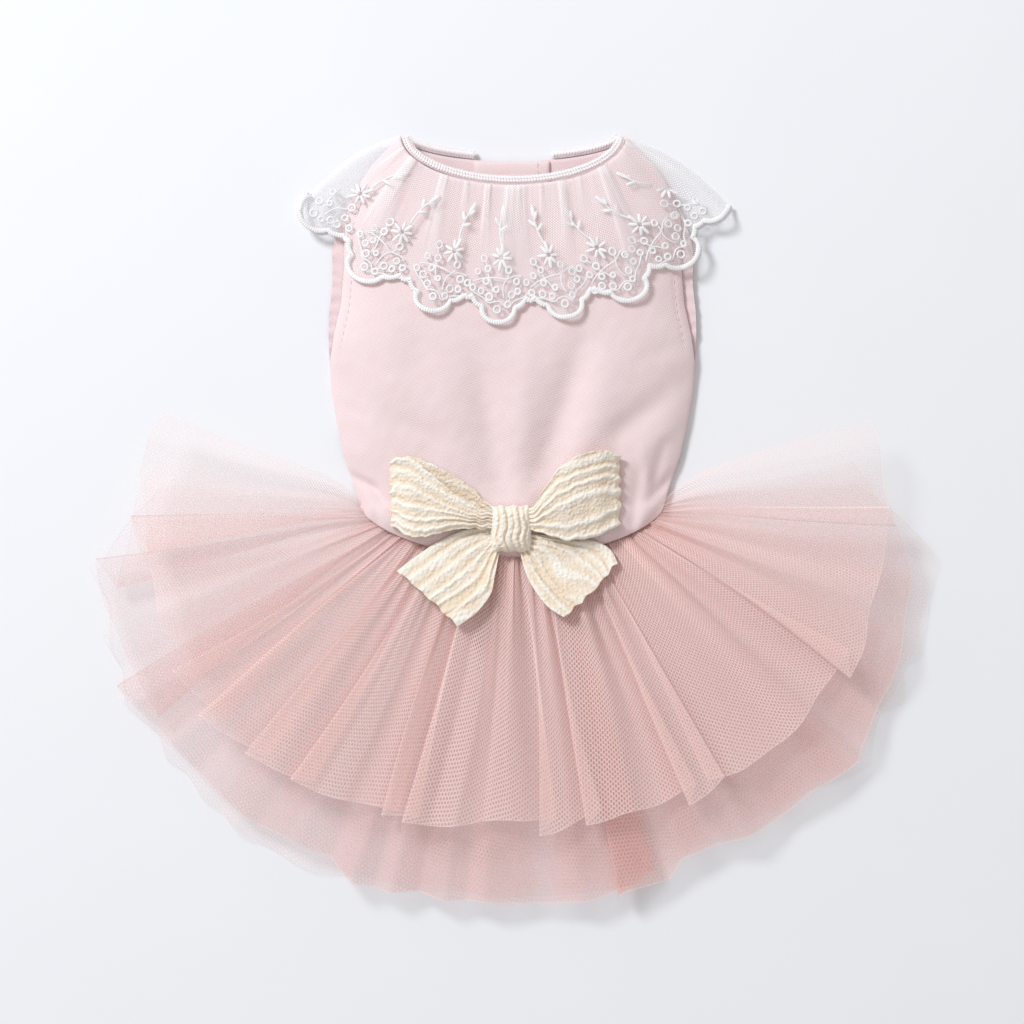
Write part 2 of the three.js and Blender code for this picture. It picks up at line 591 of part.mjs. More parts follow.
// Columns of a tulle layer in the order of the cloth. A crease where the cloth turns back on itself
// gets two, one above the other. A stretch that runs forward gets more where it passes a fold, or
// one bulging column in its middle
function tulleColumns(creases) {
  const list = [];
  const turns = creases.map((crease, i) => {
    const came = i > 0 && crease.at < creases[i - 1].at;
    const goes = i < creases.length - 1 && creases[i + 1].at < crease.at;
    return { came, goes };
  });
  creases.forEach((crease, i) => {
    const { came, goes } = turns[i];
    const before = creases[i - 1];
    if (before && !came) {
      const passed = turns[i - 1].came ? creases[i - 2] : null;
      const ahead = goes ? creases[i + 1] : null;
      const pass = (level) => (level > 0.5 ? PASS_OVER : PASS_UNDER);
      const reach = (before.reach + crease.reach) / 2;
      if (passed) list.push({ at: passed.at + PASS_BY, reach, level: pass(before.level) });
      if (ahead) list.push({ at: ahead.at - PASS_BY, reach, level: pass(crease.level) });
      if (!passed && !ahead && crease.at - before.at > BULGE_FROM) {
        const level = Math.min(1, BULGE + (before.level + crease.level) / 2);
        list.push({ at: (before.at + crease.at) / 2, reach, level });
      }
    }
    const turned = { ...crease, inner: crease.level > 0.5 ? BACK_HIGH : BACK_LOW };
    if (came) list.push(turned, crease);
    else if (goes) list.push(crease, turned);
    else list.push(crease);
  });
  return list;
}

// Points just outside the waist seam, one for each degree, and how far along the seam each lies
const WAIST_FROM = 4;
const WAIST_TO = 176;
const GATHER_OUT = SEAM_GAP + 0.6;
const seamLine = [];
for (let degree = WAIST_FROM; degree <= WAIST_TO; degree += 1) {
  const part = Math.cos(rad(degree));
  const x = CENTRE + (WAIST_HALF + GATHER_OUT) * part;
  const y = WAIST_Y - WAIST_DROP * bulge(part, WAIST_ROUND) - GATHER_OUT * Math.sin(rad(degree));
  seamLine.push(new THREE.Vector3(x, y, 0));
}
const waistSeam = new THREE.CatmullRomCurve3(seamLine);

// A tulle layer from the waist seam to its hem: evenly gathered at the waist, folded further out
const LEAST_RUN = 0.8;
function tulleLayer(layer) {
  const columns = tulleColumns(CREASES[layer.name]);
  const last = columns.length - 1;
  const run = [0];
  for (let i = 1; i <= last; i += 1) {
    run.push(run[i - 1] + Math.max(LEAST_RUN, Math.abs(columns[i].at - columns[i - 1].at)));
  }
  const grid = columns.map((crease, i) => {
    const share = run[i] / run[last];
    const seam = waistSeam.getPointAt(share);
    return STATIONS.map(({ out, folded }) => {
      const angle = rad(lerp(lerp(columns[0].at, columns[last].at, share), crease.at, folded));
      const x = lerp(seam.x, CENTRE + crease.reach * Math.cos(angle), out);
      const y = lerp(seam.y, FAN_Y - crease.reach * Math.sin(angle), out);
      const band = tulleBand(layer, x, y);
      const level = lerp(crease.level, crease.inner ?? crease.level, folded);
      const z = band.low + TULLE / 2 + level * (band.high - band.low - TULLE);
      return new THREE.Vector3(x, y, z);
    });
  });
  addPiece(layer.name, clothWall(grid, TULLE), TULLE_PINK, 0.7);
}
LAYERS.forEach(tulleLayer);

// A loop of the bow: out along the front, round its end and back behind, gathered at the knot
const LOOP_ACROSS = 9;
const LOOP_CLEAR = SEAM_GAP + 0.4;
const LOOP_OPEN = 2.6;
const LOOP_BELLY = 1.6;
const LOOP_GATHER = 0.45;
const LOOP_GATHERS = 3;
function bowLoop(name) {
  const table = BOW_LOOPS[name];
  const rows = table.map((row, i) => ({ ...row, out: i / (table.length - 1), front: true }));
  const behind = rows.map((row) => {
    return { ...row, top: row.backTop, bottom: row.backBottom, front: false };
  });
  const grid = [...rows, ...behind.reverse()].map((row) => {
    const open = LOOP_OPEN + (LOOP_RISE - LOOP_OPEN) * Math.sin(Math.PI * Math.min(0.72, row.out));
    const deep = LOOP_GATHER * Math.sin(Math.PI * Math.min(0.8, row.out + 0.12));
    const line = [];
    for (let j = 0; j < LOOP_ACROSS; j += 1) {
      const across = j / (LOOP_ACROSS - 1);
      const x = row.x;
      const y = lerp(row.top, row.bottom, across);
      const belly = LOOP_BELLY * Math.sin(Math.PI * across) * Math.sin(Math.PI * row.out);
      const gather = deep * Math.cos(2 * Math.PI * LOOP_GATHERS * across);
      const base = coverTop(x, y) + LOOP_CLEAR + BOW_CLOTH / 2;
      const z = row.front ? base + open + belly + gather : base + 0.3 * gather;
      line.push(new THREE.Vector3(x, y, z));
    }
    return line;
  });
  addPiece(name, clothWall(grid, BOW_CLOTH), BOW_CREAM, 0.85);
}
Object.keys(BOW_LOOPS).forEach(bowLoop);

// A tail of the bow: one layer that widens to its cut end, with creases from the knot
const TAIL_ACROSS = 8;
const TAIL_CLEAR = SEAM_GAP + 0.8;
const TAIL_CREASE = 0.6;
function bowTail(name) {
  const table = BOW_TAILS[name];
  const grid = table.map((row, i) => {
    const line = [];
    for (let j = 0; j < TAIL_ACROSS; j += 1) {
      const across = j / (TAIL_ACROSS - 1);
      const x = lerp(row.outX, row.inX, across);
      const y = lerp(row.outY, row.inY, across);
      const deep = TAIL_CREASE * Math.sin((Math.PI * i) / table.length);
      const z = coverTop(x, y) + TAIL_CLEAR + BOW_CLOTH / 2 + deep * Math.cos(4 * Math.PI * across);
      line.push(new THREE.Vector3(x, y, z));
    }
    return line;
  });
  addPiece(name, clothWall(grid, BOW_CLOTH), BOW_CREAM, 0.85);
}
Object.keys(BOW_TAILS).forEach(bowTail);

// The knot: a wrapped band, its four creases running from front to back
const KNOT_ACROSS = 12;
const KNOT_ALONG = 6;
function bowKnot() {
  const base = coverTop(KNOT.x, KNOT.y + KNOT.halfY) + 0.6;
  const grid = [];
  for (let i = 0; i <= KNOT_ACROSS; i += 1) {
    const across = -1 + (2 * i) / KNOT_ACROSS;
    const line = [];
    for (let j = 0; j <= KNOT_ALONG; j += 1) {
      const along = -1 + (2 * j) / KNOT_ALONG;
      const wide = KNOT.halfX * (1 - 0.08 * Math.abs(along));
      const crown = (1 - across ** 6 * 0.5) * (1 - along ** 4 * 0.62);
      const groove = KNOT.groove * Math.cos((across + 1) * Math.PI * 4);
      const z = base + KNOT.rise * crown + groove * (1 - along ** 4);
      line.push(new THREE.Vector3(KNOT.x + across * wide, KNOT.y + along * KNOT.halfY, z));
    }
    grid.push(line);
  }
  const flat = grid.map((line) => line.map((point) => point.clone().setZ((point.z + base) / 2)));
  const solid = clothWall(flat, 1, true);
  const position = solid.getAttribute("position");
  const half = position.count / 2;
  grid.flat().forEach((point, k) => {
    position.setZ(k, point.z);
    position.setZ(k + half, base);
  });
  solid.computeVertexNormals();
  addPiece("bow_knot", solid, BOW_CREAM, 0.85);
}
bowKnot();

export default dress;
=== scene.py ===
# %% [markdown]
# # A small pet dress, laid flat
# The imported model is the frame: every piece of cloth below is made at its real size, in the place
# that its solid holds. Sizes are in millimetres until a mesh is made, and +Z is up.

# %% Load the frame
import math
import bpy
import numpy as np
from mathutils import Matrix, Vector


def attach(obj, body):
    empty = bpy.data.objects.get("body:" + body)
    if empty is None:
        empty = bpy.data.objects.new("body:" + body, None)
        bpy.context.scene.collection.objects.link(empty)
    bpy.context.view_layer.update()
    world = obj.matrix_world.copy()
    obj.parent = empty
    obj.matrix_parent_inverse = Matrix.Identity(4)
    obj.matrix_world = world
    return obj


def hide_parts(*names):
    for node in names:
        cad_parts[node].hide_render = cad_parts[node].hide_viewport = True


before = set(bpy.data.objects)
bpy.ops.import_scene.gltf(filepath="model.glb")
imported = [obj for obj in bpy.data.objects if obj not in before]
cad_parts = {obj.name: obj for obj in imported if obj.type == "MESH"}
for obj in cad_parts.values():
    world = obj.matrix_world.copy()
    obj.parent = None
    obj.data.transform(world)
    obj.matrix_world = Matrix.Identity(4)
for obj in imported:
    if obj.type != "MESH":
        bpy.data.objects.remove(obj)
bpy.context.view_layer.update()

MM = 0.001
scene = bpy.context.scene
print("nodes in the frame:", len(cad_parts))

# %% [markdown]
# ## Shapes shared with the solids
# The solids come from short tables, and the cloth repeats those tables with many more steps.
# That way each finished piece lies on its solid, and only the small folds are new.

# %% Sizes of the bodice and skirt
KNIT = 1.2
SEAM_GAP = 0.3
CENTRE = -0.4
NECK_Y, NECK_HALF, NECK_DROP_BACK, NECK_DROP_BELLY = 157.0, 46.0, 20.5, 10.5
WAIST_Y, WAIST_HALF, WAIST_DROP, WAIST_ROUND, BELLY_HEM_DROP = 6.0, 62.5, 22.0, 0.75, 8.0
FAN_Y, FAN_SEAM_HALF, FAN_SEAM_DROP = 12.7, 63.5, 32.0
PLACKET_HALF = 15.5
BACK_SIDE = np.array([
    # y, half width, height of the edge, rise of the middle
    (157.0, 46.0, 4.0, 5.6), (145.0, 58.0, 3.4, 6.6), (134.0, 65.0, 3.2, 7.2),
    (122.0, 69.0, 3.2, 7.6), (103.0, 69.2, 3.2, 8.0), (88.0, 70.5, 3.2, 8.4),
    (74.0, 73.6, 3.0, 8.6), (64.0, 75.0, 2.2, 9.2), (52.0, 74.2, 1.5, 9.4),
    (40.0, 72.2, 1.5, 8.8), (26.0, 69.2, 1.5, 7.6), (15.0, 65.4, 1.5, 6.8),
    (6.0, 62.5, 1.5, 6.4), (-20.0, 62.5, 1.5, 5.4),
])
BELLY_SIDE = np.array([
    # y, half width, height of the underside
    (157.0, 46.0, 1.3), (145.0, 58.0, 1.3), (134.0, 65.0, 1.3), (122.0, 71.0, 1.3),
    (110.0, 74.2, 1.3), (96.0, 74.0, 1.3), (84.0, 75.4, 1.3), (75.0, 75.6, 1.3),
    (66.0, 75.2, 0.0), (54.0, 74.3, 0.0), (40.0, 72.2, 0.0), (13.5, 64.6, 0.0),
])
BODICE_FOLDS = np.array([
    # from x, y to x, y, then depth and width
    (44, 36, 70, 58, -1.3, 5), (50, 4, 66, 40, 1.0, 6), (12, 20, 30, 74, -1.4, 7),
    (-8, 16, -18, 74, -1.1, 8), (26, 22, 58, 76, 0.8, 8), (-34, 30, -68, 56, -1.0, 7),
    (-40, 66, -48, 100, -0.9, 8),
], float)
print("rows of the back and of the belly:", len(BACK_SIDE), len(BELLY_SIDE))

# %% [markdown]
# A garment is drawn with a few curves that are used again and again. Here they are a blend of two
# values, a soft step, the rise of a panel with air below it, and the distance from a fold's line.

# %% Curves
def lerp(a, b, t):
    return a + (b - a) * t


def smooth(t):
    t = np.clip(t, 0, 1)
    return t * t * (3 - 2 * t)


def column(table, index, y):
    """Value of one column of a table at y, by straight lines between its rows."""
    return np.interp(y, table[::-1, 0], table[::-1, index])


def dome(part):
    return 1 - np.minimum(1, np.abs(part)) ** 5


def bulge(part, roundness):
    room = np.maximum(0, 1 - part * part)
    return lerp(room, np.sqrt(room), roundness)


def along_line(x, y, x0, y0, x1, y1):
    """Where the nearest point of a line lies, from 0 to 1, and how far away it is."""
    dx, dy = x1 - x0, y1 - y0
    along = np.clip(((x - x0) * dx + (y - y0) * dy) / (dx * dx + dy * dy), 0, 1)
    return along, np.hypot(x - x0 - along * dx, y - y0 - along * dy)


print("rise of a panel half way to its side:", round(float(dome(0.5)), 3))

# %% [markdown]
# The back panel lies on the belly side with a little air between them, so it bulges. Its height at
# any point comes from its outline, its rise and its large folds. Real cloth is never quite even:
# the unevenness is a few waves with a fixed seed, so that each run gives the same dress.

# %% Form of the bodice
def back_underside(x, y):
    """Height of the back panel's lower face, with its large folds."""
    risen = dome(x / column(BACK_SIDE, 1, y))
    folds = 0
    for x0, y0, x1, y1, depth, width in BODICE_FOLDS:
        along, away = along_line(x, y, x0, y0, x1, y1)
        folds = folds + depth * np.exp(-((away / width) ** 2)) * (1 - 0.6 * along)
    return column(BACK_SIDE, 2, y) + column(BACK_SIDE, 3, y) * risen + folds * risen


def panel_xy(table, edge_y, drop_top, drop_end, part):
    """A point of a bodice panel: its cross lines dip in the middle, most at neck and waist."""
    down = (NECK_Y - edge_y) / (NECK_Y - WAIST_Y)
    roundness = lerp(1, WAIST_ROUND, down) * (2 * down - 1) ** 8
    dip = lerp(drop_top, drop_end, down) * bulge(part, roundness)
    return CENTRE * down + column(table, 1, edge_y) * part, edge_y - dip


def wander(x, y, size, seed, count=7):
    """Smooth unevenness between about -1 and 1, the same on every run."""
    dice = np.random.default_rng(seed)
    total = 0
    for _ in range(count):
        turn, phase, pitch = dice.uniform(0, 2 * np.pi, 3)
        wave = (0.6 + 0.8 * pitch / (2 * np.pi)) * 2 * np.pi / size
        total = total + np.sin(wave * (x * np.cos(turn) + y * np.sin(turn)) + phase)
    return total / np.sqrt(count)


print("air under the middle of the back in mm:", round(float(back_underside(0.0, 88.0)), 2))

# %% [markdown]
# ## From points to cloth
# A piece of cloth is a grid of points. Thin net stays a single surface, and thicker cloth gets an
# inner face and a rim, so that its edges show their thickness.

# %% Mesh helpers
def grid_faces(columns, rows, start=0, flip=False):
    i, j = np.meshgrid(np.arange(columns - 1), np.arange(rows - 1), indexing="ij")
    a = (start + i * rows + j).ravel()
    faces = np.stack([a, a + rows, a + rows + 1, a + 1], axis=1)
    return faces[:, ::-1] if flip else faces


def make_object(name, points, faces, uv=None, values=None):
    """A smooth mesh from points in millimetres, with a UV map in millimetres and point values."""
    mesh = bpy.data.meshes.new(name)
    mesh.vertices.add(len(points))
    mesh.vertices.foreach_set("co", (np.asarray(points, np.float32) * MM).ravel())
    if isinstance(faces, list):
        sizes, flat = np.array([len(f) for f in faces]), np.concatenate(faces)
    else:
        sizes, flat = np.full(len(faces), faces.shape[1]), faces.ravel()
    mesh.loops.add(len(flat))
    mesh.loops.foreach_set("vertex_index", flat.astype(np.int32))
    mesh.polygons.add(len(sizes))
    starts = np.concatenate([[0], np.cumsum(sizes)[:-1]])
    mesh.polygons.foreach_set("loop_start", starts.astype(np.int32))
    mesh.polygons.foreach_set("use_smooth", np.ones(len(sizes), bool))
    mesh.update(calc_edges=True)
    if uv is not None:
        layer = mesh.uv_layers.new(name="cloth_mm")
        layer.data.foreach_set("uv", np.asarray(uv, np.float32)[flat].ravel())
    for key, value in (values or {}).items():
        attribute = mesh.attributes.new(key, "FLOAT", "POINT")
        attribute.data.foreach_set("value", np.asarray(value, np.float32).ravel())
    mesh.validate()
    made = bpy.data.objects.new(name, mesh)
    scene.collection.objects.link(made)
    return made


def faces_up(grid):
    """True where the faces of a grid look up, taken over the whole grid."""
    along = grid[1:, :-1] - grid[:-1, :-1]
    across = grid[:-1, 1:] - grid[:-1, :-1]
    return np.cross(along, across)[..., 2].sum() > 0


def cloth_sheet(name, grid, uv, values=None):
    """An open single surface from a grid of points, facing up."""
    columns, rows = grid.shape[:2]
    faces = grid_faces(columns, rows, flip=not faces_up(grid))
    flat_values = {k: v.ravel() for k, v in (values or {}).items()}
    return make_object(name, grid.reshape(-1, 3), faces, uv.reshape(-1, 2), flat_values)


def cloth_panel(name, grid, thick, uv, values=None, up=None, inner=None):
    """A closed panel: the grid is one face, and the other lies thick below it or at inner."""
    columns, rows = grid.shape[:2]
    count = columns * rows
    up = faces_up(grid) if up is None else up
    lower = grid - (0, 0, thick) if inner is None else inner
    index = np.arange(count).reshape(columns, rows)
    ring = np.concatenate([index[:, 0], index[-1, 1:], index[-2::-1, -1], index[0, -2:0:-1]])
    after = np.roll(ring, -1)
    rim = np.stack([ring, ring + count, after + count, after], axis=1)
    faces = np.concatenate([
        grid_faces(columns, rows, flip=not up),
        grid_faces(columns, rows, start=count, flip=up),
        rim if up else rim[:, ::-1],
    ])
    points = np.concatenate([grid.reshape(-1, 3), lower.reshape(-1, 3)])
    both = np.concatenate([uv.reshape(-1, 2)] * 2)
    flat_values = {k: np.concatenate([v.ravel()] * 2) for k, v in (values or {}).items()}
    return make_object(name, points, faces, both, flat_values)


print("faces of a grid of 3 by 4 points:", len(grid_faces(3, 4)))

# %% [markdown]
# Thread, tape and embroidery are tubes: a ring of points is carried along a path and joined up.
# Many small tubes go into one mesh, which is lighter than an object for every stitch.

# %% Tubes and heaps of them
def tube_mesh(path, radius, sides=8, flat=1.0, closed=False):
    """Points and faces of a tube along a path; flat squeezes its height, radius may vary."""
    path = np.asarray(path, float)
    radius = np.broadcast_to(np.asarray(radius, float), len(path))
    if closed:
        heading = np.roll(path, -1, 0) - np.roll(path, 1, 0)
    else:
        heading = np.gradient(path, axis=0)
    heading /= np.linalg.norm(heading, axis=1, keepdims=True) + 1e-9
    side = np.cross(heading, (0, 0, 1.0))
    side /= np.linalg.norm(side, axis=1, keepdims=True) + 1e-9
    top = np.cross(side, heading)
    turn = np.arange(sides) * 2 * np.pi / sides
    ring = side[:, None] * np.cos(turn)[None, :, None] + flat * top[:, None] * np.sin(turn)[None, :, None]
    points = (path[:, None] + ring * radius[:, None, None]).reshape(-1, 3)
    steps = len(path) if closed else len(path) - 1
    i, j = np.meshgrid(np.arange(steps), np.arange(sides), indexing="ij")
    i2, j2 = (i + 1) % len(path), (j + 1) % sides
    faces = np.stack([i * sides + j, i2 * sides + j, i2 * sides + j2, i * sides + j2], -1).reshape(-1, 4)
    if not closed:
        points = np.concatenate([points, path[[0, -1]]])
        first, last = len(points) - 2, len(points) - 1
        end = (len(path) - 1) * sides
        k = np.arange(sides)
        caps = np.concatenate([
            np.stack([k, (k + 1) % sides, np.full(sides, first), np.full(sides, first)], 1),
            np.stack([end + (k + 1) % sides, end + k, np.full(sides, last), np.full(sides, last)], 1),
        ])
        return points, faces, caps[:, :3]
    return points, faces, np.zeros((0, 3), int)


class Heap:
    """Many small tubes gathered into one mesh."""

    def __init__(self):
        self.points, self.quads, self.triangles, self.count = [], [], [], 0

    def add(self, mesh):
        points, quads, triangles = mesh
        self.points.append(points)
        self.quads.append(quads + self.count)
        self.triangles.append(triangles + self.count)
        self.count += len(points)

    def make(self, name):
        points = np.concatenate(self.points)
        quads = np.concatenate(self.quads)
        triangles = np.concatenate(self.triangles)
        return make_object(name, points, [*quads, *triangles], points[:, :2])


print("faces of a short tube:", len(tube_mesh([(0, 0, 0), (1, 0, 0), (2, 0, 0)], 0.5)[1]))

# %% [markdown]
# A finished piece takes the place of its solid and gets its finish. Gathered cloth also says what
# size of strip it is cut from, which is measured along the lines of its own mesh.

# %% Settling a piece
def cut_size(grid, hem=None):
    """Width and length in metres of a strip: its width at a hem line, or the mean of all lines."""
    wide = np.linalg.norm(np.diff(grid, axis=0), axis=2).sum(axis=0)
    wide = wide.mean() if hem is None else wide[hem]
    deep = np.linalg.norm(np.diff(grid, axis=1), axis=2).sum(axis=1).mean()
    return round(float(wide) / 1000, 3), round(float(deep) / 1000, 3)


def tris(obj):
    return sum(len(p.vertices) - 2 for p in obj.data.polygons)


def settle(obj, node, finish):
    """The piece stands for its solid, rides on the part and gets its finish."""
    obj.data.materials.clear()
    obj.data.materials.append(finish)
    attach(obj, "root")
    if node:
        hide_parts(*([node] if isinstance(node, str) else node))
    print(obj.name, "triangles", tris(obj))


square = np.array([[(a, b, 0.0) for b in (0, 20)] for a in (0, 20)])
print("a square of 20 mm measures in m:", cut_size(square))

# %% [markdown]
# ## Finishes
# All the cloth here is matte. Its look comes mostly from what it is made of: a fine twill-like knit,
# two kinds of net, satin thread and a crinkled cotton. Some colours also carry painted shade and
# painted highlights, as said where they are made. The patterns are worked out by nodes in real
# millimetres. A net is three sets of waves at 60 degrees: their sum is high in the middle of each
# six-sided hole and low along the threads.

# %% Node helpers
def srgb(r, g, b):
    """A colour as a photograph gives it, made linear for the shader."""
    c = np.array([r, g, b]) / 255
    return tuple(np.where(c <= 0.04045, c / 12.92, ((c + 0.055) / 1.055) ** 2.4)) + (1.0,)


class Nodes:
    """Short calls to add nodes to a tree and to link them."""

    def __init__(self, tree):
        self.tree = tree

    def add(self, kind, **settings):
        node = self.tree.nodes.new(kind)
        for key, value in settings.items():
            setattr(node, key, value)
        return node

    def link(self, source, target):
        self.tree.links.new(source, target)

    def feed(self, socket, value):
        if hasattr(value, "is_linked"):
            self.link(value, socket)
        else:
            socket.default_value = value

    def math(self, operation, a, b=0.0, c=0.0):
        node = self.add("ShaderNodeMath", operation=operation)
        for socket, value in zip(node.inputs, (a, b, c)):
            self.feed(socket, value)
        return node.outputs[0]

    def mix(self, factor, a, b):
        node = self.add("ShaderNodeMix", data_type="RGBA", clamp_factor=True)
        self.feed(node.inputs[0], factor)
        self.feed(node.inputs[6], a)
        self.feed(node.inputs[7], b)
        return node.outputs[2]

    def ramp(self, value, low, high, to_low=0.0, to_high=1.0):
        node = self.add("ShaderNodeMapRange", interpolation_type="SMOOTHSTEP", clamp=True)
        for socket, v in zip(node.inputs, (value, low, high, to_low, to_high)):
            self.feed(socket, v)
        return node.outputs[0]

    def noise(self, vector, scale, detail=3.0, roughness=0.5):
        node = self.add("ShaderNodeTexNoise")
        self.link(vector, node.inputs["Vector"])
        node.inputs["Scale"].default_value = scale
        node.inputs["Detail"].default_value = detail
        node.inputs["Roughness"].default_value = roughness
        return node.outputs["Fac"]

    def value_of(self, name):
        return self.add("ShaderNodeAttribute", attribute_name=name).outputs["Fac"]

    def stretched(self, vector, x, y, z=1.0):
        node = self.add("ShaderNodeMapping")
        self.link(vector, node.inputs["Vector"])
        node.inputs["Scale"].default_value = (x, y, z)
        return node.outputs[0]


def new_group(name, inputs, outputs):
    """An empty node group with its named sockets, ready to be filled."""
    group = bpy.data.node_groups.new(name, "ShaderNodeTree")
    for label, kind, default in inputs:
        socket = group.interface.new_socket(label, in_out="INPUT", socket_type="NodeSocket" + kind)
        if default is not None:
            socket.default_value = default
    for label, kind in outputs:
        group.interface.new_socket(label, in_out="OUTPUT", socket_type="NodeSocket" + kind)
    n = Nodes(group)
    return n, n.add("NodeGroupInput"), n.add("NodeGroupOutput")


print("a mid grey made linear:", round(float(srgb(128, 128, 128)[0]), 3))

# %% [markdown]
# The skirt and the lace are both net, so the threads are one node group that they share. The size
# of a cell, the width of a thread and its softness are inputs of the group.

# %% Net: threads round six-sided holes
n, given, result = new_group(
    "net threads",
    [("Place", "Vector", None), ("Cell", "Float", 1.6), ("Thread", "Float", -0.4), ("Blur", "Float", 0.5)],
    [("Threads", "Float")],
)
total = 0.0
for turn in (0, 60, 120):
    wave = n.add("ShaderNodeVectorMath", operation="DOT_PRODUCT")
    n.link(given.outputs["Place"], wave.inputs[0])
    wave.inputs[1].default_value = (math.cos(math.radians(turn)), math.sin(math.radians(turn)), 0)
    per = n.math("DIVIDE", 2 * math.pi / math.cos(math.radians(30)), given.outputs["Cell"])
    total = n.math("ADD", n.math("COSINE", n.math("MULTIPLY", wave.outputs["Value"], per)), total)
low = n.math("SUBTRACT", given.outputs["Thread"], given.outputs["Blur"])
high = n.math("ADD", given.outputs["Thread"], given.outputs["Blur"])
n.link(n.ramp(total, low, high, 1.0, 0.0), result.inputs["Threads"])
NET = n.tree
print("net group nodes:", len(NET.nodes))

# %% [markdown]
# The knit, the thread and the tape all show a fine diagonal grain with some fuzz. This second group
# puts out a height for the bump and a slow mottle for the colour.

# %% Grain: the fine diagonal of a knit, with soft fuzz
n, given, result = new_group(
    "cloth grain",
    [("Place", "Vector", None), ("Pitch", "Float", 0.9), ("Fuzz", "Float", 0.5)],
    [("Height", "Float"), ("Mottle", "Float")],
)
per = n.math("DIVIDE", 2 * math.pi, given.outputs["Pitch"])
ribs = []
for tilt in ((0.92, 0.4, 0), (-0.35, 0.94, 0)):
    wave = n.add("ShaderNodeVectorMath", operation="DOT_PRODUCT")
    n.link(given.outputs["Place"], wave.inputs[0])
    wave.inputs[1].default_value = tilt
    ribs.append(n.math("SINE", n.math("MULTIPLY", wave.outputs["Value"], per)))
weave = n.math("MULTIPLY_ADD", ribs[0], 0.28, n.math("MULTIPLY", ribs[1], 0.16))
fuzz = n.noise(given.outputs["Place"], 1.7, 4.0, 0.62)
n.link(n.math("MULTIPLY_ADD", fuzz, given.outputs["Fuzz"], weave), result.inputs["Height"])
n.link(n.noise(given.outputs["Place"], 0.09, 3.0), result.inputs["Mottle"])
GRAIN = n.tree
print("grain group nodes:", len(GRAIN.nodes))

# %% [markdown]
# A finish is a material with its own shader. It reads a place in millimetres, either on the laid
# dress or on the cut cloth, so that a pattern keeps its real size.

# %% Material helpers
def use_group(n, tree, **inputs):
    """Places a group with its own values and gives back its outputs."""
    node = n.add("ShaderNodeGroup", node_tree=tree)
    for key, value in inputs.items():
        n.feed(node.inputs[key.replace("_", " ")], value)
    return node.outputs


def new_material(name, roughness=0.9, sheen=0.0, sheen_tint=(1, 1, 1, 1), specular=0.2):
    material = bpy.data.materials.new(name)
    material.use_nodes = True
    shader = material.node_tree.nodes["Principled BSDF"]
    shader.inputs["Roughness"].default_value = roughness
    shader.inputs["Sheen Weight"].default_value = sheen
    shader.inputs["Sheen Tint"].default_value = sheen_tint
    shader.inputs["Sheen Roughness"].default_value = 0.6
    shader.inputs["Specular IOR Level"].default_value = specular
    return material, Nodes(material.node_tree), shader


def flat_place(n):
    """The place on the laid dress in millimetres, for cloth that has no stretched grain."""
    scaled = n.add("ShaderNodeVectorMath", operation="SCALE")
    n.link(n.add("ShaderNodeTexCoord").outputs["Object"], scaled.inputs[0])
    scaled.inputs["Scale"].default_value = 1000
    return scaled.outputs[0]


def cloth_place(n):
    """The place on the cut cloth in millimetres, from the UV map."""
    return n.add("ShaderNodeUVMap", uv_map="cloth_mm").outputs[0]


def bump(n, shader, height, distance, strength=1.0):
    node = n.add("ShaderNodeBump")
    node.inputs["Strength"].default_value = strength
    node.inputs["Distance"].default_value = distance
    n.link(height, node.inputs["Height"])
    n.link(node.outputs[0], shader.inputs["Normal"])


print("groups ready:", [group.name for group in bpy.data.node_groups])

# %% [markdown]
# Knit is matte with a little sheen, and its hollows are slightly deeper in colour. Net keeps nearly
# one colour, and its alpha does the work: high on a thread, low in a hole, and denser where the
# cloth is gathered or folded. Its colour is painted a little deeper where it is gathered, as shade,
# and paler along folds and the hem, as a highlight.

# %% Knit and net finishes
def knit_finish(name, light, deep, sheen):
    """Soft knit between two colours."""
    material, n, shader = new_material(name, 0.92, sheen, srgb(255, 236, 236))
    grain = use_group(n, GRAIN, Place=flat_place(n), Pitch=0.95, Fuzz=0.9)
    shade = n.math("MULTIPLY_ADD", grain["Height"], 0.35, n.math("MULTIPLY", grain["Mottle"], 0.6))
    n.link(n.mix(n.ramp(shade, 0.1, 0.9), srgb(*deep), srgb(*light)), shader.inputs["Base Color"])
    bump(n, shader, grain["Height"], 0.00016, 0.7)
    return material


def net_finish(name, thread, deep, cell, turn, solid, veil):
    """Net cloth: threads over holes. Gather and edge values make it denser, cover thins it. Gather also
    deepens its colour, a painted shade, and edge lightens it, a painted highlight.
    """
    material, n, shader = new_material(name, 0.85, 0.0, specular=0.1)
    place = n.add("ShaderNodeMapping")
    n.link(cloth_place(n), place.inputs["Vector"])
    place.inputs["Rotation"].default_value = (0, 0, math.radians(turn))
    threads = use_group(n, NET, Place=place.outputs[0], Cell=cell, Thread=-0.2, Blur=0.6)["Threads"]
    gather = n.value_of("gather")
    veiled = n.math("ADD", veil, gather)
    alpha = n.math("MULTIPLY_ADD", threads, n.math("SUBTRACT", solid, veil), veiled)
    alpha = n.math("MAXIMUM", n.math("MULTIPLY", alpha, n.value_of("cover")), n.value_of("edge"))
    n.link(n.math("MINIMUM", alpha, 1.0), shader.inputs["Alpha"])
    # Painted shade: where the net is gathered, its colour turns to the deeper one, for the shade among its
    # crowded layers.
    colour = n.mix(n.ramp(gather, 0.02, 0.40), srgb(*thread), srgb(*deep))
    # Painted highlight: along the folds and the hem, the colour turns towards near white.
    colour = n.mix(n.math("MULTIPLY", n.value_of("edge"), 1.6), colour, srgb(255, 236, 233))
    n.link(colour, shader.inputs["Base Color"])
    return material


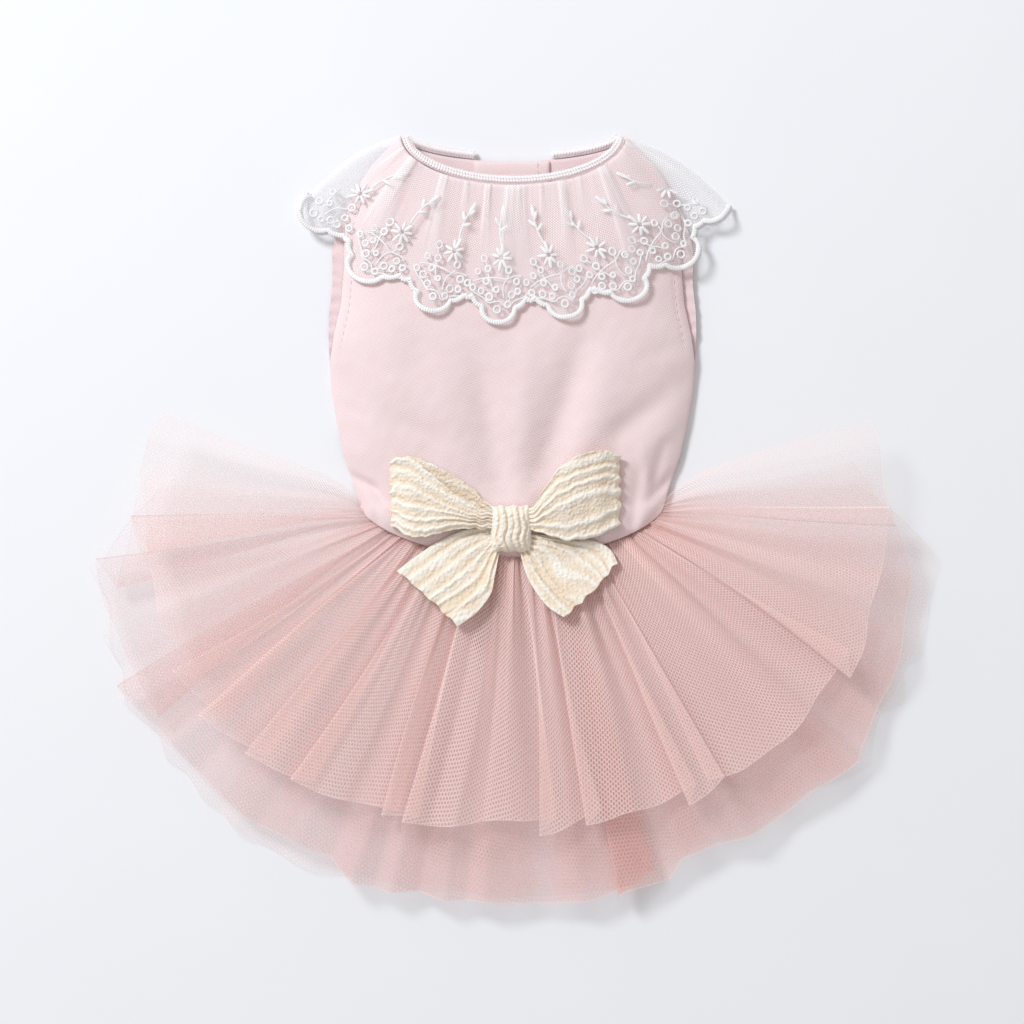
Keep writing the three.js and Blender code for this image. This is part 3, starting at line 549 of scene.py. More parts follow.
knit_pink = knit_finish("soft pink knit", (247, 227, 227), (240, 216, 217), 0.2)
# The belly side is a slightly darker copy of the bodice knit: painted shade, for where it lies lower inside
# the neck and the armholes.
knit_belly_shaded = knit_finish("pink knit with painted shade", (245, 224, 224), (236, 210, 212), 0.15)
# The middle net's blush is darker than the top net's pink: partly its own colour, and partly painted shade
# for the shadow that the top layer casts on it. The second colour of each net is used where it is gathered.
tulle_pink = net_finish("pink tulle", (255, 223, 217), (255, 215, 207), 1.42, 12, 0.64, 0.14)
tulle_blush_and_shade = net_finish("blush tulle and painted shade", (240, 194, 188), (244, 186, 177), 1.42, 37, 0.62, 0.20)
tulle_white = net_finish("pale tulle", (248, 220, 217), (248, 198, 193), 1.42, -21, 0.32, 0.07)
lace_net = net_finish("lace net", (255, 252, 252), (255, 251, 251), 1.0, 5, 0.36, 0.02)
print("finishes of knit and net:", len(bpy.data.materials))

# %% [markdown]
# The embroidery is worked in smooth white thread, which is a little glossier than the knit.

# %% Thread: white satin stitches
lace_thread, n, shader = new_material("white lace thread", 0.6, 0.3)
grain = use_group(n, GRAIN, Place=flat_place(n), Pitch=0.45, Fuzz=0.6)
n.link(n.mix(grain["Height"], srgb(243, 240, 240), srgb(255, 254, 253)), shader.inputs["Base Color"])
bump(n, shader, grain["Height"], 0.0001, 0.6)
print("thread nodes:", len(n.tree.nodes))

# %% [markdown]
# Crinkled cotton is puckered all over. Rounded cells give its pebbles, and the crown_shade value of
# each mesh says where the cloth stands high or lies low. Its colour follows both: high places get a
# painted near-white highlight and low places a painted beige shade, and a slow patchy noise varies the
# tone.

# %% Crinkle: cream cotton with painted beige shade in its hollows
crinkle, n, shader = new_material("cream crinkle cotton", 0.88, 0.2, srgb(255, 248, 232))
place = flat_place(n)
pebbles = n.add("ShaderNodeTexVoronoi", feature="SMOOTH_F1")
wavy = n.add("ShaderNodeVectorMath", operation="ADD")
n.link(place, wavy.inputs[0])
n.link(n.add("ShaderNodeTexNoise").outputs["Color"], wavy.inputs[1])
n.link(n.stretched(wavy.outputs[0], 0.72, 0.72, 0.3), pebbles.inputs["Vector"])
pebbles.inputs["Scale"].default_value = 1.0
pebbles.inputs["Smoothness"].default_value = 0.35
bumps = n.ramp(pebbles.outputs["Distance"], 0.0, 0.75, 1.0, 0.0)
patchy = n.noise(place, 0.32, 3.0, 0.6)
# Painted shade and highlight: low places, creases and the gaps between pebbles are coloured beige, and high
# places near white. The patchy noise varies the tone at random.
crinkle_shade = n.math("MULTIPLY_ADD", n.value_of("crown_shade"), 0.85, n.math("MULTIPLY", bumps, 0.16))
crinkle_shade = n.math("MULTIPLY_ADD", patchy, 0.22, crinkle_shade)
cream = n.mix(n.ramp(crinkle_shade, 0.30, 1.00), srgb(240, 220, 196), srgb(251, 244, 233))
n.link(cream, shader.inputs["Base Color"])
fuzz = n.noise(place, 2.4, 3.0, 0.6)
bump(n, shader, n.math("MULTIPLY_ADD", bumps, 1.4, n.math("MULTIPLY", fuzz, 0.5)), 0.00026, 0.8)
print("materials:", len(bpy.data.materials))

# %% [markdown]
# ## Bodice
# The back panel is one piece of knit that lies on the belly side. It is a fine grid on the solid's
# own form, with a soft tuck at each side of the waist and small puckers along the seams.

# %% Small folds of the knit
TUCKS = np.array([
    # from x, y to x, y, then depth and width: tucks at the sides of the waist, then soft folds
    (-67.0, 18.0, -56.5, 12.0, -3.4, 1.7), (-57.5, 13.0, -53.0, 6.5, -1.6, 1.8),
    (-63.0, 8.5, -50.0, -3.0, 2.2, 3.6), (-72.0, 32.0, -60.0, 24.0, 0.9, 5.0),
    (66.0, 18.0, 57.0, 8.0, -2.6, 2.4), (60.0, 6.0, 50.0, -5.0, 1.6, 4.0),
    (49.0, -1.0, 52.0, 18.0, -1.4, 2.6), (44.0, 2.0, 46.0, 22.0, 1.2, 3.4),
    (-70.0, 47.0, -62.0, 42.0, -0.8, 2.5), (-52.0, 40.0, -34.0, 35.0, -0.8, 5.0),
    (-5.0, 12.0, -14.0, 66.0, -1.2, 6.0), (14.0, 22.0, 28.0, 70.0, -1.3, 6.0),
    (24.0, 14.0, 40.0, 64.0, 0.9, 7.0), (44.0, 34.0, 70.0, 56.0, -1.1, 5.0),
    (52.0, 26.0, 70.0, 42.0, 0.8, 4.0), (3.0, 20.0, 6.0, 70.0, 0.8, 6.0),
    (-68.0, 66.0, -52.0, 60.0, -0.5, 4.0), (52.0, 64.0, 68.0, 72.0, -0.6, 4.0),
    (62.0, 30.0, 56.0, 8.0, -1.6, 2.6), (53.0, 28.0, 57.0, 6.0, 1.1, 2.6),
], float)
ARMHOLE_LOW = 66.0
STITCH_IN = 3.4


def small_folds(x, y):
    """Height that the tucks and the unevenness add."""
    total = 0
    for x0, y0, x1, y1, depth, width in TUCKS:
        along, away = along_line(x, y, x0, y0, x1, y1)
        total = total + depth * np.exp(-((away / width) ** 2)) * np.sin(np.pi * (0.18 + 0.64 * along))
    return 1.15 * total + 0.28 * wander(x, y, 34, 3) + 0.05 * wander(x, y, 9, 4)


def back_top(x, y):
    """Upper face of the back panel, with its small folds."""
    room = np.clip(1.05 - np.abs(x / column(BACK_SIDE, 1, y)), 0, 1) ** 0.4
    return back_underside(x, y) + KNIT + small_folds(x, y) * room


print("small folds:", len(TUCKS))

# %% [markdown]
# The panel is cut with a dipped neck and a curved waist. Its seams draw the knit in: it puckers
# along the armhole stitches, and gathers a little where the skirt joins it.

# %% Back panel
COLUMNS, ROWS = 152, 140
part = -np.cos(np.pi * np.arange(COLUMNS) / (COLUMNS - 1))[:, None]
edge_y = (WAIST_Y + (NECK_Y - WAIST_Y) * np.linspace(1, 0, ROWS) ** 1.25)[None, :]
x, y = panel_xy(BACK_SIDE, edge_y, NECK_DROP_BACK, WAIST_DROP, part)
z = back_top(x, y)
from_side = (1 - np.abs(part)) * column(BACK_SIDE, 1, edge_y)
armhole = smooth((edge_y - ARMHOLE_LOW) / 12)
pucker = np.sin(edge_y * 2 * np.pi / 3.1) * np.exp(-((from_side - STITCH_IN) / 1.6) ** 2)
z = z + armhole * (0.12 * pucker - 0.22 * np.exp(-((from_side - STITCH_IN) / 0.8) ** 2))
z = z - 0.45 * np.exp(-from_side / 0.7)
down = (edge_y - WAIST_Y) / (NECK_Y - WAIST_Y)
from_hem = down * (NECK_Y - WAIST_Y)
gathers = 0.4 * np.sin(part * 46 + 2 * wander(x, y, 30, 9)) * np.exp(-from_hem / 4)
puff = 1.1 * np.exp(-(((from_hem - 6) / 5) ** 2)) - 1.5 * np.exp(-from_hem / 1.1)
grid = np.stack([x + 0 * y, y + 0 * x, z + gathers + puff * dome(part)], axis=-1)
back = cloth_panel("back_panel", grid, KNIT, grid[..., :2])
settle(back, "back_bodice", knit_pink)

# %% [markdown]
# ## Belly side
# Two halves lie flat under the back panel and meet below the placket. Only their armhole edges and
# the neck show, so they need less detail.

# %% Belly halves and placket
BELLY_END = 13.5


def belly_top(y):
    return column(BELLY_SIDE, 2, y) + KNIT


for sign, side in ((-1, "left"), (1, "right")):
    share = np.cos(np.pi / 2 * np.linspace(0, 1, 48))[:, None]
    edge_y = np.linspace(NECK_Y, BELLY_END, 104)[None, :]
    x, y = panel_xy(BELLY_SIDE, edge_y, NECK_DROP_BELLY, BELLY_HEM_DROP, sign * share)
    x = CENTRE + sign * np.maximum(SEAM_GAP / 2, np.abs(x - CENTRE))
    z = belly_top(y)
    near = (1 - share) * column(BELLY_SIDE, 1, edge_y)
    z = z + 0.35 * np.sin(y * 2 * np.pi / 5.3 + 1.5 * wander(x, y, 18, 21)) * np.exp(-near / 5) * (y > 66)
    grid = np.stack([x + 0 * y, y + 0 * x, z], axis=-1)
    half = cloth_panel("belly_half_" + side, grid, KNIT, grid[..., :2])
    settle(half, "belly_bodice_" + side, knit_belly_shaded)

across = np.linspace(-PLACKET_HALF, PLACKET_HALF, 36)[:, None]
edge_y = np.linspace(NECK_Y, BELLY_END, 140)[None, :]
down = (NECK_Y - edge_y) / (NECK_Y - WAIST_Y)
y = edge_y - lerp(NECK_DROP_BELLY, BELLY_HEM_DROP, down)
nearby = np.maximum(belly_top(y - 1), np.maximum(belly_top(y), belly_top(y + 1)))
z = nearby + SEAM_GAP + KNIT - 0.5 * np.exp(-(PLACKET_HALF - np.abs(across)) / 0.8)
z = z - 0.5 * np.exp(-(y.max() - y) / 0.8) - 0.3 * np.exp(-((y.max() - y - 5.6) / 0.5) ** 2)
grid = np.stack([CENTRE + across + 0 * y, y + 0 * across, z + 0 * across], axis=-1)
placket = cloth_panel("placket_strip", grid, KNIT, grid[..., :2])
settle(placket, "front_placket", knit_pink)

# %% [markdown]
# ## Topstitching
# A stitch is a short bead of thread that sinks a little into the cloth at its ends. Rows of them
# hold the turned edges of the armholes and the end of the placket.

# %% Rows of stitches
def stitch_row(heap, path, length=2.1, gap=0.9, radius=0.17):
    """Beads of thread, one after another, along a path."""
    path = np.asarray(path, float)
    steps = np.linalg.norm(np.diff(path, axis=0), axis=1)
    run = np.concatenate([[0], np.cumsum(steps)])
    for start in np.arange(0, run[-1] - length, length + gap):
        stops = np.linspace(start, start + length, 6)
        bead = np.stack([np.interp(stops, run, path[:, k]) for k in range(3)], axis=1)
        arch = np.sin(np.linspace(0, np.pi, 6))
        bead[:, 2] += 0.14 * arch - 0.08
        heap.add(tube_mesh(bead, radius * (0.45 + 0.55 * arch), sides=6))


TAB_Y, TAB_HEM = 146.2, 5.6
stitches = Heap()
for sign in (-1, 1):
    edge_y = np.linspace(138, 64, 80)
    part = sign * (1 - STITCH_IN / column(BACK_SIDE, 1, edge_y))
    x, y = panel_xy(BACK_SIDE, edge_y, NECK_DROP_BACK, WAIST_DROP, part)
    stitch_row(stitches, np.stack([x, y, back_top(x, y) - 0.2], axis=1))
across = np.linspace(-PLACKET_HALF + 2, PLACKET_HALF - 5, 30)
stitch_row(stitches, np.stack([CENTRE + across, 0 * across + (TAB_Y - TAB_HEM), 0 * across + 4.0], axis=1))
down = np.linspace(146, 132, 20)
stitch_row(stitches, np.stack([0 * down + CENTRE + PLACKET_HALF - 5, down, 0 * down + 4.1], axis=1))
topstitch = stitches.make("topstitching")
stitch_thread = knit_finish("pink sewing thread", (246, 220, 221), (238, 206, 208), 0.3)
settle(topstitch, None, stitch_thread)

# %% [markdown]
# ## Tulle skirt
# Three strips of net are gathered into the curved waist seam. Each is folded as the photograph
# shows: a table gives every crease its direction, its reach and its height, in the order of the
# cloth. Where the direction turns back, the net lies in three layers and looks denser.

# %% Creases of the three layers
LAYERS = {
    "tulle_bottom": dict(waist=0.0, low=0.0, high=4.3),
    "tulle_middle": dict(waist=1.5, low=4.9, high=11.4),
    "tulle_top": dict(waist=3.0, low=12.0, high=19.4),
}
CREASES = {
    "tulle_top": """-10.4 149 .45, -6.5 150 .95, -1.5 151 .6, 6 157 0, 3 155 1, 8.1 154 .8,
        13.6 154 .5, 18 155 .9, 23 157 .6, 29.6 159 1, 25.5 152 0, 36.3 152 .7, 42.8 152 .55,
        51 149 1, 56.4 144 0, 53.6 147 1, 61 149 1, 58 143 0, 69.2 142 .75, 73.4 142 .5,
        77.7 141 1, 74.4 137 0, 85.6 143 1, 82.2 136 0, 90.5 136 .7, 95 138 .5, 99.6 140 .95,
        104 143 .55, 108.3 144 1, 105.6 139 0, 111.8 145 1, 109 139 0, 118.2 145 .8, 122.6 148 .5,
        127.3 150 1, 123.6 145 0, 130.4 151 .7, 135.2 154 1, 131.8 147 0, 140 156 .7, 144 158 1,
        141 150 0, 147.6 156 .6, 151.7 157 1, 148.6 150 0, 160 153 .75, 167 152 .4,
        175.7 157 1, 169.5 150 0, 182 152 .55, 187.4 150 .95, 191.9 145 .5""",
    "tulle_middle": """-4 140 .4, 1 148 .9, 5.6 158 .4, 11 166 .9, 17 170 .4, 23 173 .9, 30 176 .4,
        37 178 .9, 38.4 181 .3, 45 176 .7, 50.5 174 .4, 56.1 173 1, 60 170 .4, 65.3 167 .9,
        68 173 .4, 75.5 173 1, 69.5 168 0, 80 173 .9, 87 170 .4, 93.8 171 .9, 96.4 171 .5,
        99.3 172 1, 103 170 .3, 106.7 174 .9, 109 174 .5, 112 176 1, 116 168 .3, 121 171 .8,
        127 173 .3, 133.2 174 .9, 138 174 .4, 143 174 .9, 146 176 .4, 153.4 182 1, 146.8 173 0,
        156 172 .6, 163 173 .8, 170.3 173.5 1, 165.5 167 0, 173 158 .4, 178 154 .9, 184 145 .4""",
    "tulle_bottom": """-1 140 .3, 4 158 0, 9.1 176 1, 15 177 0, 21.8 180 .9, 25 177 0, 28.2 179 1,
        31.5 177 0, 37.5 182 1, 46 173 0, 55 169 .8, 63 165 0, 71 168 .8, 79 168 0, 88 166 .8,
        96 167 0, 104 168 .8, 111 171 0, 118 177 .9, 122.4 179 0, 129 181 1, 132 179 .1,
        135 181 .8, 138.6 179 0, 142.1 181 .7, 145.2 177 0, 151.6 184 1, 155 177 0, 160.2 178 1,
        163.8 174 0, 169.3 176 1, 175 158 0, 181 145 .4""",
}
STATION_OUT = [0, 0.16, 0.32, 0.44, 0.58, 1]
STATION_FOLDED = [0, 0, 0.15, 0.55, 1, 1]
print("creases of each layer:", {name: rows.count(",") + 1 for name, rows in CREASES.items()})

# %% [markdown]
# Each layer fills a band of heights that opens out from the seam. A crease that turns back is two
# lines of cloth at one place, so that the net folds over itself.

# %% Places of the creases
def tulle_band(layer, x, y):
    """Lowest and highest place of a layer above a point of the table."""
    angle = np.arctan2(FAN_Y - y, x - CENTRE)
    seam = 1 / np.hypot(np.cos(angle) / FAN_SEAM_HALF, np.sin(angle) / FAN_SEAM_DROP)
    run = np.clip((np.hypot(x - CENTRE, y - FAN_Y) - seam) / 75.0, 0, 1)
    opened = 1 - (1 - run) ** 2
    waist = layer["waist"] + 5.5 * dome(np.cos(angle))
    return lerp(waist, layer["low"], opened), lerp(waist + 1.0, layer["high"], opened)


def tulle_columns(text):
    """Rows of at, reach, outer level and inner level: a turned fold gets two, as in the solids."""
    creases = [tuple(float(v) for v in item.split()) for item in text.split(",")]
    rows = []
    for i, (at, reach, level) in enumerate(creases):
        came = i > 0 and at < creases[i - 1][0]
        goes = i < len(creases) - 1 and creases[i + 1][0] < at
        inner = 0.55 if level > 0.5 else 0.45
        if came:
            rows += [(at, reach, level, inner), (at, reach, level, level)]
        elif goes:
            rows += [(at, reach, level, level), (at, reach, level, inner)]
        else:
            rows.append((at, reach, level, level))
    return np.array(rows)


def seam_point(at, inside):
    """A point of the waist seam below a direction, a little inside the edge of the bodice."""
    a = np.radians(at)
    part = np.cos(a)
    x = CENTRE + (WAIST_HALF - inside) * part
    return x, WAIST_Y - WAIST_DROP * bulge(part, WAIST_ROUND) + inside * np.sin(a)


print("lines of each layer:", {name: len(tulle_columns(rows)) for name, rows in CREASES.items()})

# %% [markdown]
# A layer runs from the seam to the hem along the lines of its own cloth. Gathers of five sizes
# start at the seam and fade outwards, the finest ones first.

# %% Grid of a layer
HEM_MM_PER_DEGREE = 2.62
NECK_OF_UV = 62
TUCKED_IN = 1.6
SEAM_SPREAD = 86.5
GATHERS = [
    # pitch in degrees of cloth, height in mm and how far out it runs
    (2.1, 0.15, 0.18), (3.4, 0.20, 0.28), (5.7, 0.27, 0.50), (9.3, 0.42, 0.90), (16.1, 0.70, 1.60),
]


def smoothed(values, columns):
    """A running mean with a soft window."""
    wide = int(columns * 3)
    kernel = np.exp(-0.5 * (np.arange(-wide, wide + 1) / columns) ** 2)
    return np.convolve(np.pad(values, wide, mode="edge"), kernel / kernel.sum(), mode="valid")


def tulle_grid(name, columns=1200, rows=44, seed=1):
    """Points of a layer, its cloth map, and where each point lies in its folds and gathers."""
    layer = LAYERS[name]
    table = tulle_columns(CREASES[name])
    run = np.concatenate([[0], np.cumsum(np.maximum(0.8, np.abs(np.diff(table[:, 0]))))])
    u = np.linspace(0, run[-1], columns)
    per_degree = columns / run[-1]
    sheet = [smoothed(np.interp(u, run, table[:, k]), 0.35 * per_degree) for k in range(4)]
    at, reach, level, inner = (v[:, None] for v in sheet)
    start = np.maximum.accumulate(smoothed(sheet[0], 9 * per_degree))
    start = 0.85 * start + 0.15 * np.linspace(start[0], start[-1], columns)
    start = start + 1.8 * wander(u, 0 * u, 20, seed + 1) * np.sin(np.pi * u / run[-1])
    middle, half = (start[0] + start[-1]) / 2, (start[-1] - start[0]) / 2
    sx, sy = seam_point(90 + (start - middle) / half * SEAM_SPREAD, TUCKED_IN)
    out = np.sort(np.concatenate([np.linspace(0, 1, rows) ** 0.9, [0.006, 0.014, 0.9935]]))
    o = out[None, :]
    dice = np.random.default_rng(seed)
    waves, shiver = 0, 0
    for pitch, height, runs in GATHERS:
        drift = 1.3 * wander(u, 0 * u, 7 * pitch, seed + int(pitch * 10))
        wave = np.sin(2 * np.pi * u / pitch + dice.uniform(0, 6.28) + drift)[:, None]
        waves = waves + height * wave * np.exp(-((o / runs) ** 2)) * smooth(o / 0.03 + 0.15)
        shiver = shiver + wave * np.exp(-((o / runs) ** 2)) / 2.2
    angle = np.radians(at)
    ragged = (0.5 * np.sin(2 * np.pi * u / 13) + 0.4 * wander(u, 0 * u, 9, seed + 3))[:, None]
    hx = CENTRE + (reach + ragged) * np.cos(angle)
    hy = FAN_Y - (reach + ragged) * np.sin(angle)
    sag = (1.8 * wander(u, 0 * u, 26, seed + 5))[:, None] * np.sin(np.pi * o)
    corner = np.exp(-(((at + 10) / 13) ** 2)) - np.exp(-(((at - 192) / 13) ** 2))
    sag = sag - 5.5 * corner * o / 0.24 * np.exp(1 - o / 0.24)
    x = lerp(sx[:, None], hx, o) - sag * np.sin(angle)
    y = lerp(sy[:, None], hy, o) - sag * np.cos(angle)
    low, high = tulle_band(layer, x, y)
    folded = smooth(np.interp(out, STATION_OUT, STATION_FOLDED))[None, :]
    z = low + 0.5 + lerp(level, inner, folded) * (high - low - 1.0) + waves
    z = z - 1.9 * (1 - smooth(o / 0.03))
    z = np.maximum(z, 0.15 + 0.1 * o)
    uv = np.stack([u[:, None] * HEM_MM_PER_DEGREE + 0 * o, o * (reach - NECK_OF_UV)], axis=-1)
    turns = [run[j] for j in range(1, len(table)) if table[j, 0] == table[j - 1, 0]]
    fold = (0 * u + sum(np.exp(-(((u - turn) / 0.35) ** 2)) for turn in turns))[:, None]
    return np.stack([x, y, z], axis=-1), uv, at + 0 * o, o + 0 * at, shiver, np.minimum(fold, 1)


print("sizes of gathers:", len(GATHERS))

# %% [markdown]
# Net looks denser where it is gathered, folded or hemmed, and paler at the sides of the fan, where
# little lies below it. These densities are values on the points of the mesh, for the net's alpha. The
# gather value also colours the net deeper, a painted shade, and the fold and hem value colours it
# paler, a painted highlight.
# The cut of the strips isn't seen, so their share of a plain strip is an assumption.


def tulle_values(at, o, shiver, fold, waist_dense, streak, crease, hem, thin, left):
    """Density added by the gathers, by folds and by the cut edge, and the thinner fans. The gather value
    also deepens the colour as painted shade, and the edge value lightens it as a painted highlight.
    """
    gather = waist_dense * np.exp(-((o / 0.22) ** 2)) + streak * np.clip(shiver, 0, 1) * (1 - o) ** 0.8
    edge = np.maximum(crease * fold * smooth(o / 0.15), hem * (o > 0.999))
    fans = 1 - smooth(np.minimum((at + 12) / 48, (200 - at) / left))
    patchy = 1 + 0.13 * wander(at * 2, o, 13, 8)
    cover = np.clip((1 - thin * fans) * patchy, 0.1, 1.2)
    return {"gather": np.clip(gather, 0, 0.85), "edge": edge, "cover": cover}


TULLE = {
    # finish, density at the waist, streaks, folds, hem line, how thin the sides get, and the
    # degrees over which the left side thins. Waist density and streaks also colour the net deeper, a
    # painted shade, and folds and hem line colour it paler, a painted highlight.
    "tulle_bottom": (tulle_white, 0.14, 0.06, 0.24, 0.34, 0.80, 118),
    "tulle_middle": (tulle_blush_and_shade, 0.16, 0.10, 0.30, 0.42, 0.93, 118),
    "tulle_top": (tulle_pink, 0.14, 0.14, 0.62, 0.62, 0.62, 88),
}
for seed, (name, (finish, *dense)) in enumerate(TULLE.items()):
    grid, uv, at, o, shiver, fold = tulle_grid(name, seed=seed + 11)
    layer = cloth_sheet(name + "_net", grid, uv, tulle_values(at, o, shiver, fold, *dense))
    settle(layer, name, finish)

# %% [markdown]
# ## Lace collar
# The collar is one band of fine net with a corded, scalloped edge. The net is gathered under the
# neck binding, so it stands in small radial folds. Its scallops repeat about every 28 mm, and each
# repeat has a flower with a sprig above it and small eyelets joined by cords.

# %% Form of the collar
LOBES = np.array([
    # direction, reach and lift of each scallop
    (18.5, 93.2, 0.5), (35.0, 90.2, 0.9), (53.0, 84.2, 0.3), (73.0, 78.0, 0.8),
    (94.8, 77.2, 0.4), (116.0, 79.9, 1.0), (138.0, 87.0, 0.3), (158.5, 93.5, 0.7),
])
COLLAR_START, COLLAR_END = 17.7, 164.0
TIP_HALF = 5.4
GATHER_RIDGES = np.array([
    # direction, half width in degrees, height in mm, and how far out it runs
    (24, 2.2, 1.3, 0.8), (32, 1.3, 0.6, 0.4), (48.5, 3.6, 2.1, 1.0), (62, 1.6, 0.6, 0.4),
    (70, 2.2, 1.0, 0.6), (79, 1.2, 0.7, 0.4), (90, 4.6, 1.2, 0.9), (101, 1.7, 1.1, 0.6),
    (110, 1.4, 0.7, 0.4), (121, 2.6, 1.1, 0.7), (141, 3.8, 2.1, 1.0), (152, 1.6, 0.8, 0.5),
])


def scallop_reach(at):
    """Distance of the scalloped edge from the middle of the neck."""
    base = np.interp(at, LOBES[:, 0], LOBES[:, 1])
    away = np.abs(np.subtract.outer(at, LOBES[:, 0])).min(axis=-1) / TIP_HALF
    rounded = 6.5 * (1 - np.sqrt(np.maximum(0, 1 - away * away)))
    span = np.minimum(10, 6.5 + 5 * (away - 1))
    span = span - 0.9 * np.abs(np.sin((away - 1) * 4.2)) * (away > 1)
    return base - np.where(away < 1, rounded, span)


def neck_reach(at):
    a = np.radians(at)
    return 1 / np.hypot(np.cos(a) / (NECK_HALF + 0.3), np.sin(a) / (NECK_DROP_BACK + 0.3))


def collar_top(x, y, at=None):
    """Height of the lace: the back panel, the waves of the scallops and the gathers."""
    if at is None:
        at = np.degrees(np.arctan2(NECK_Y - y, x))
    far = np.hypot(x, NECK_Y - y)
    out = np.clip((far - neck_reach(at)) / (scallop_reach(at) - neck_reach(at)), 0, 1.1)
    away = np.abs(np.subtract.outer(at, LOBES[:, 0])).min(axis=-1) / TIP_HALF
    lift = np.interp(at, LOBES[:, 0], LOBES[:, 2])
    wave = 2.6 * lift * np.cos(np.minimum(1, away) * np.pi / 2) * np.sin(np.pi * np.minimum(0.7, out))
    ridges = 0
    for where, width, height, runs in GATHER_RIDGES:
        spread = width * (0.75 + 0.5 * out)
        fade = smooth(1 - (out - 0.05) / runs) * smooth(out / 0.06 + 0.25)
        ridges = ridges + height * fade * np.exp(-(((at - where) / spread) ** 4))
    ripple = 0.2 * np.sin(at * 2 * np.pi / 2.6 + 2.4 * wander(at, 8 * out, 12, 31)) * np.exp(-out / 0.18)
    flat = back_underside(x, y) + KNIT + 0.6 + 0.5
    full = flat + wave * 0.7 + 0.6 * out + ridges + ripple
    end = smooth(np.minimum(at - COLLAR_START, COLLAR_END - at) / 3.2)
    return np.where(out * 3 < 1, lerp(full, lerp(2.2, full, end), out * 3), lerp(2.2, full, end))


def collar_xy(at, out, drop, reach):
    """From a direction and a share of the way out to a flat point of the collar."""
    neck = np.pi * (at - COLLAR_START) / (COLLAR_END - COLLAR_START)
    a = np.radians(at)
    x = lerp((NECK_HALF + SEAM_GAP) * np.cos(neck), reach * np.cos(a), out)
    y = lerp(NECK_Y - (drop + SEAM_GAP) * np.sin(neck), NECK_Y - reach * np.sin(a), out)
    return x, y + 4.5 * np.sin(np.pi * out) * np.abs(np.cos(neck)) ** 6


print("scallops:", len(LOBES), "gathers:", len(GATHER_RIDGES))

# %% [markdown]
# The net is one sheet from the binding to the scallops. Where it is gathered it lies double, so
# each small fold looks whiter along its sides. How much of a plain strip the scallops leave is an
# assumption.

# %% Net of the collar
at = np.linspace(COLLAR_START, COLLAR_END, 700)[:, None]
out = np.linspace(0, 1, 54)[None, :]
x, y = collar_xy(at, out, NECK_DROP_BACK, scallop_reach(at[:, 0])[:, None])
z = collar_top(x, y, at + 0 * out)
grid = np.stack([x, y, z], axis=-1)
span = np.hypot(x - x[:, :1], y - y[:, :1])
uv = np.stack([at * 1.45 + 0 * out, span], axis=-1)
ridge = 0
for where, width, height, runs in GATHER_RIDGES:
    across = np.abs(at - where) / (width * (0.75 + 0.5 * out))
    near = np.exp(-((across / 1.1) ** 6)) + 0.8 * np.exp(-(((across - 1.0) / 0.16) ** 2))
    ridge = ridge + near * min(1, height) * smooth((1 - out / runs) * 1.6)
dense = 0.10 * np.exp(-out / 0.10) + 0.24 * ridge
values = {"gather": np.clip(dense, 0, 0.8), "edge": 0 * dense, "cover": 0 * dense + 1}
collar = cloth_sheet("collar_net", grid, uv, values)
settle(collar, "lace_collar", lace_net)

# %% [markdown]
# A satin cord runs round the scalloped edge. The cord, the eyelets and the sprigs are stitched onto
# the net, so they are flattened tubes and plump spindles that lie on it.

# %% Corded edge, eyelets and petals
embroidery = Heap()


def on_lace(points):
    """Puts flat points on the lace."""
    points = np.asarray(points, float)
    z = collar_top(points[:, 0], points[:, 1])
    return np.concatenate([points, z[:, None]], axis=1)


def cord_tube(points, width, lift=0.2, flat=0.3, pitch=0.0, sides=6, closed=False):
    """A flattened cord on the lace; a pitch gives it the bumps of wound thread."""
    path = on_lace(points)
    path[:, 2] += lift
    radius = np.full(len(path), width / 2)
    if pitch:
        run = np.concatenate([[0], np.cumsum(np.linalg.norm(np.diff(path[:, :2], axis=0), axis=1))])
        radius = radius * (1 + 0.17 * np.sin(run * 2 * np.pi / pitch) + 0.06 * wander(run, 0 * run, 5, 6))
    embroidery.add(tube_mesh(path, radius, sides=sides, flat=flat, closed=closed))


edge_at = np.linspace(COLLAR_START, COLLAR_END, 1500)
edge_r = scallop_reach(edge_at)
edge_points = np.stack(collar_xy(edge_at, 1.0, NECK_DROP_BACK, edge_r), axis=1)
cord_tube(edge_points, 2.1, lift=0.1, flat=0.36, pitch=0.95, sides=8)


def lace_xy(lobe, s, d):
    """From millimetres along and in from a scallop's tip to a flat point of the dress."""
    where, reach, _ = LOBES[lobe]
    a = np.radians(where + np.degrees(np.asarray(s, float) / (reach - np.asarray(d, float) * 0.45)))
    r = reach - np.asarray(d, float)
    return np.stack([r * np.cos(a), NECK_Y - r * np.sin(a)], axis=-1)


def on_band(points):
    at = np.degrees(np.arctan2(NECK_Y - points[:, 1], points[:, 0]))
    return (at > COLLAR_START + 0.4).all() and (at < COLLAR_END - 0.4).all()


def cord(lobe, route, width=0.5, steps=14):
    """A rounded cord through a few places of one repeat."""
    route = np.array(route, float)
    t = np.linspace(0, len(route) - 1, steps)
    s = np.interp(t, np.arange(len(route)), route[:, 0])
    d = np.interp(t, np.arange(len(route)), route[:, 1])
    if len(route) > 2:
        kernel = np.array([0.25, 0.5, 0.25])
        for _ in range(3):
            s[1:-1], d[1:-1] = np.convolve(s, kernel, "valid"), np.convolve(d, kernel, "valid")
    points = lace_xy(lobe, s, d)
    if on_band(points):
        cord_tube(points, width)


def ring(lobe, s, d, size=2.4, width=0.95):
    turn = np.linspace(0, 2 * np.pi, 18, endpoint=False)
    points = lace_xy(lobe, s + size / 2 * np.cos(turn), d + size / 2 * np.sin(turn))
    if on_band(points):
        cord_tube(points, width, lift=0.2, closed=True, sides=6)


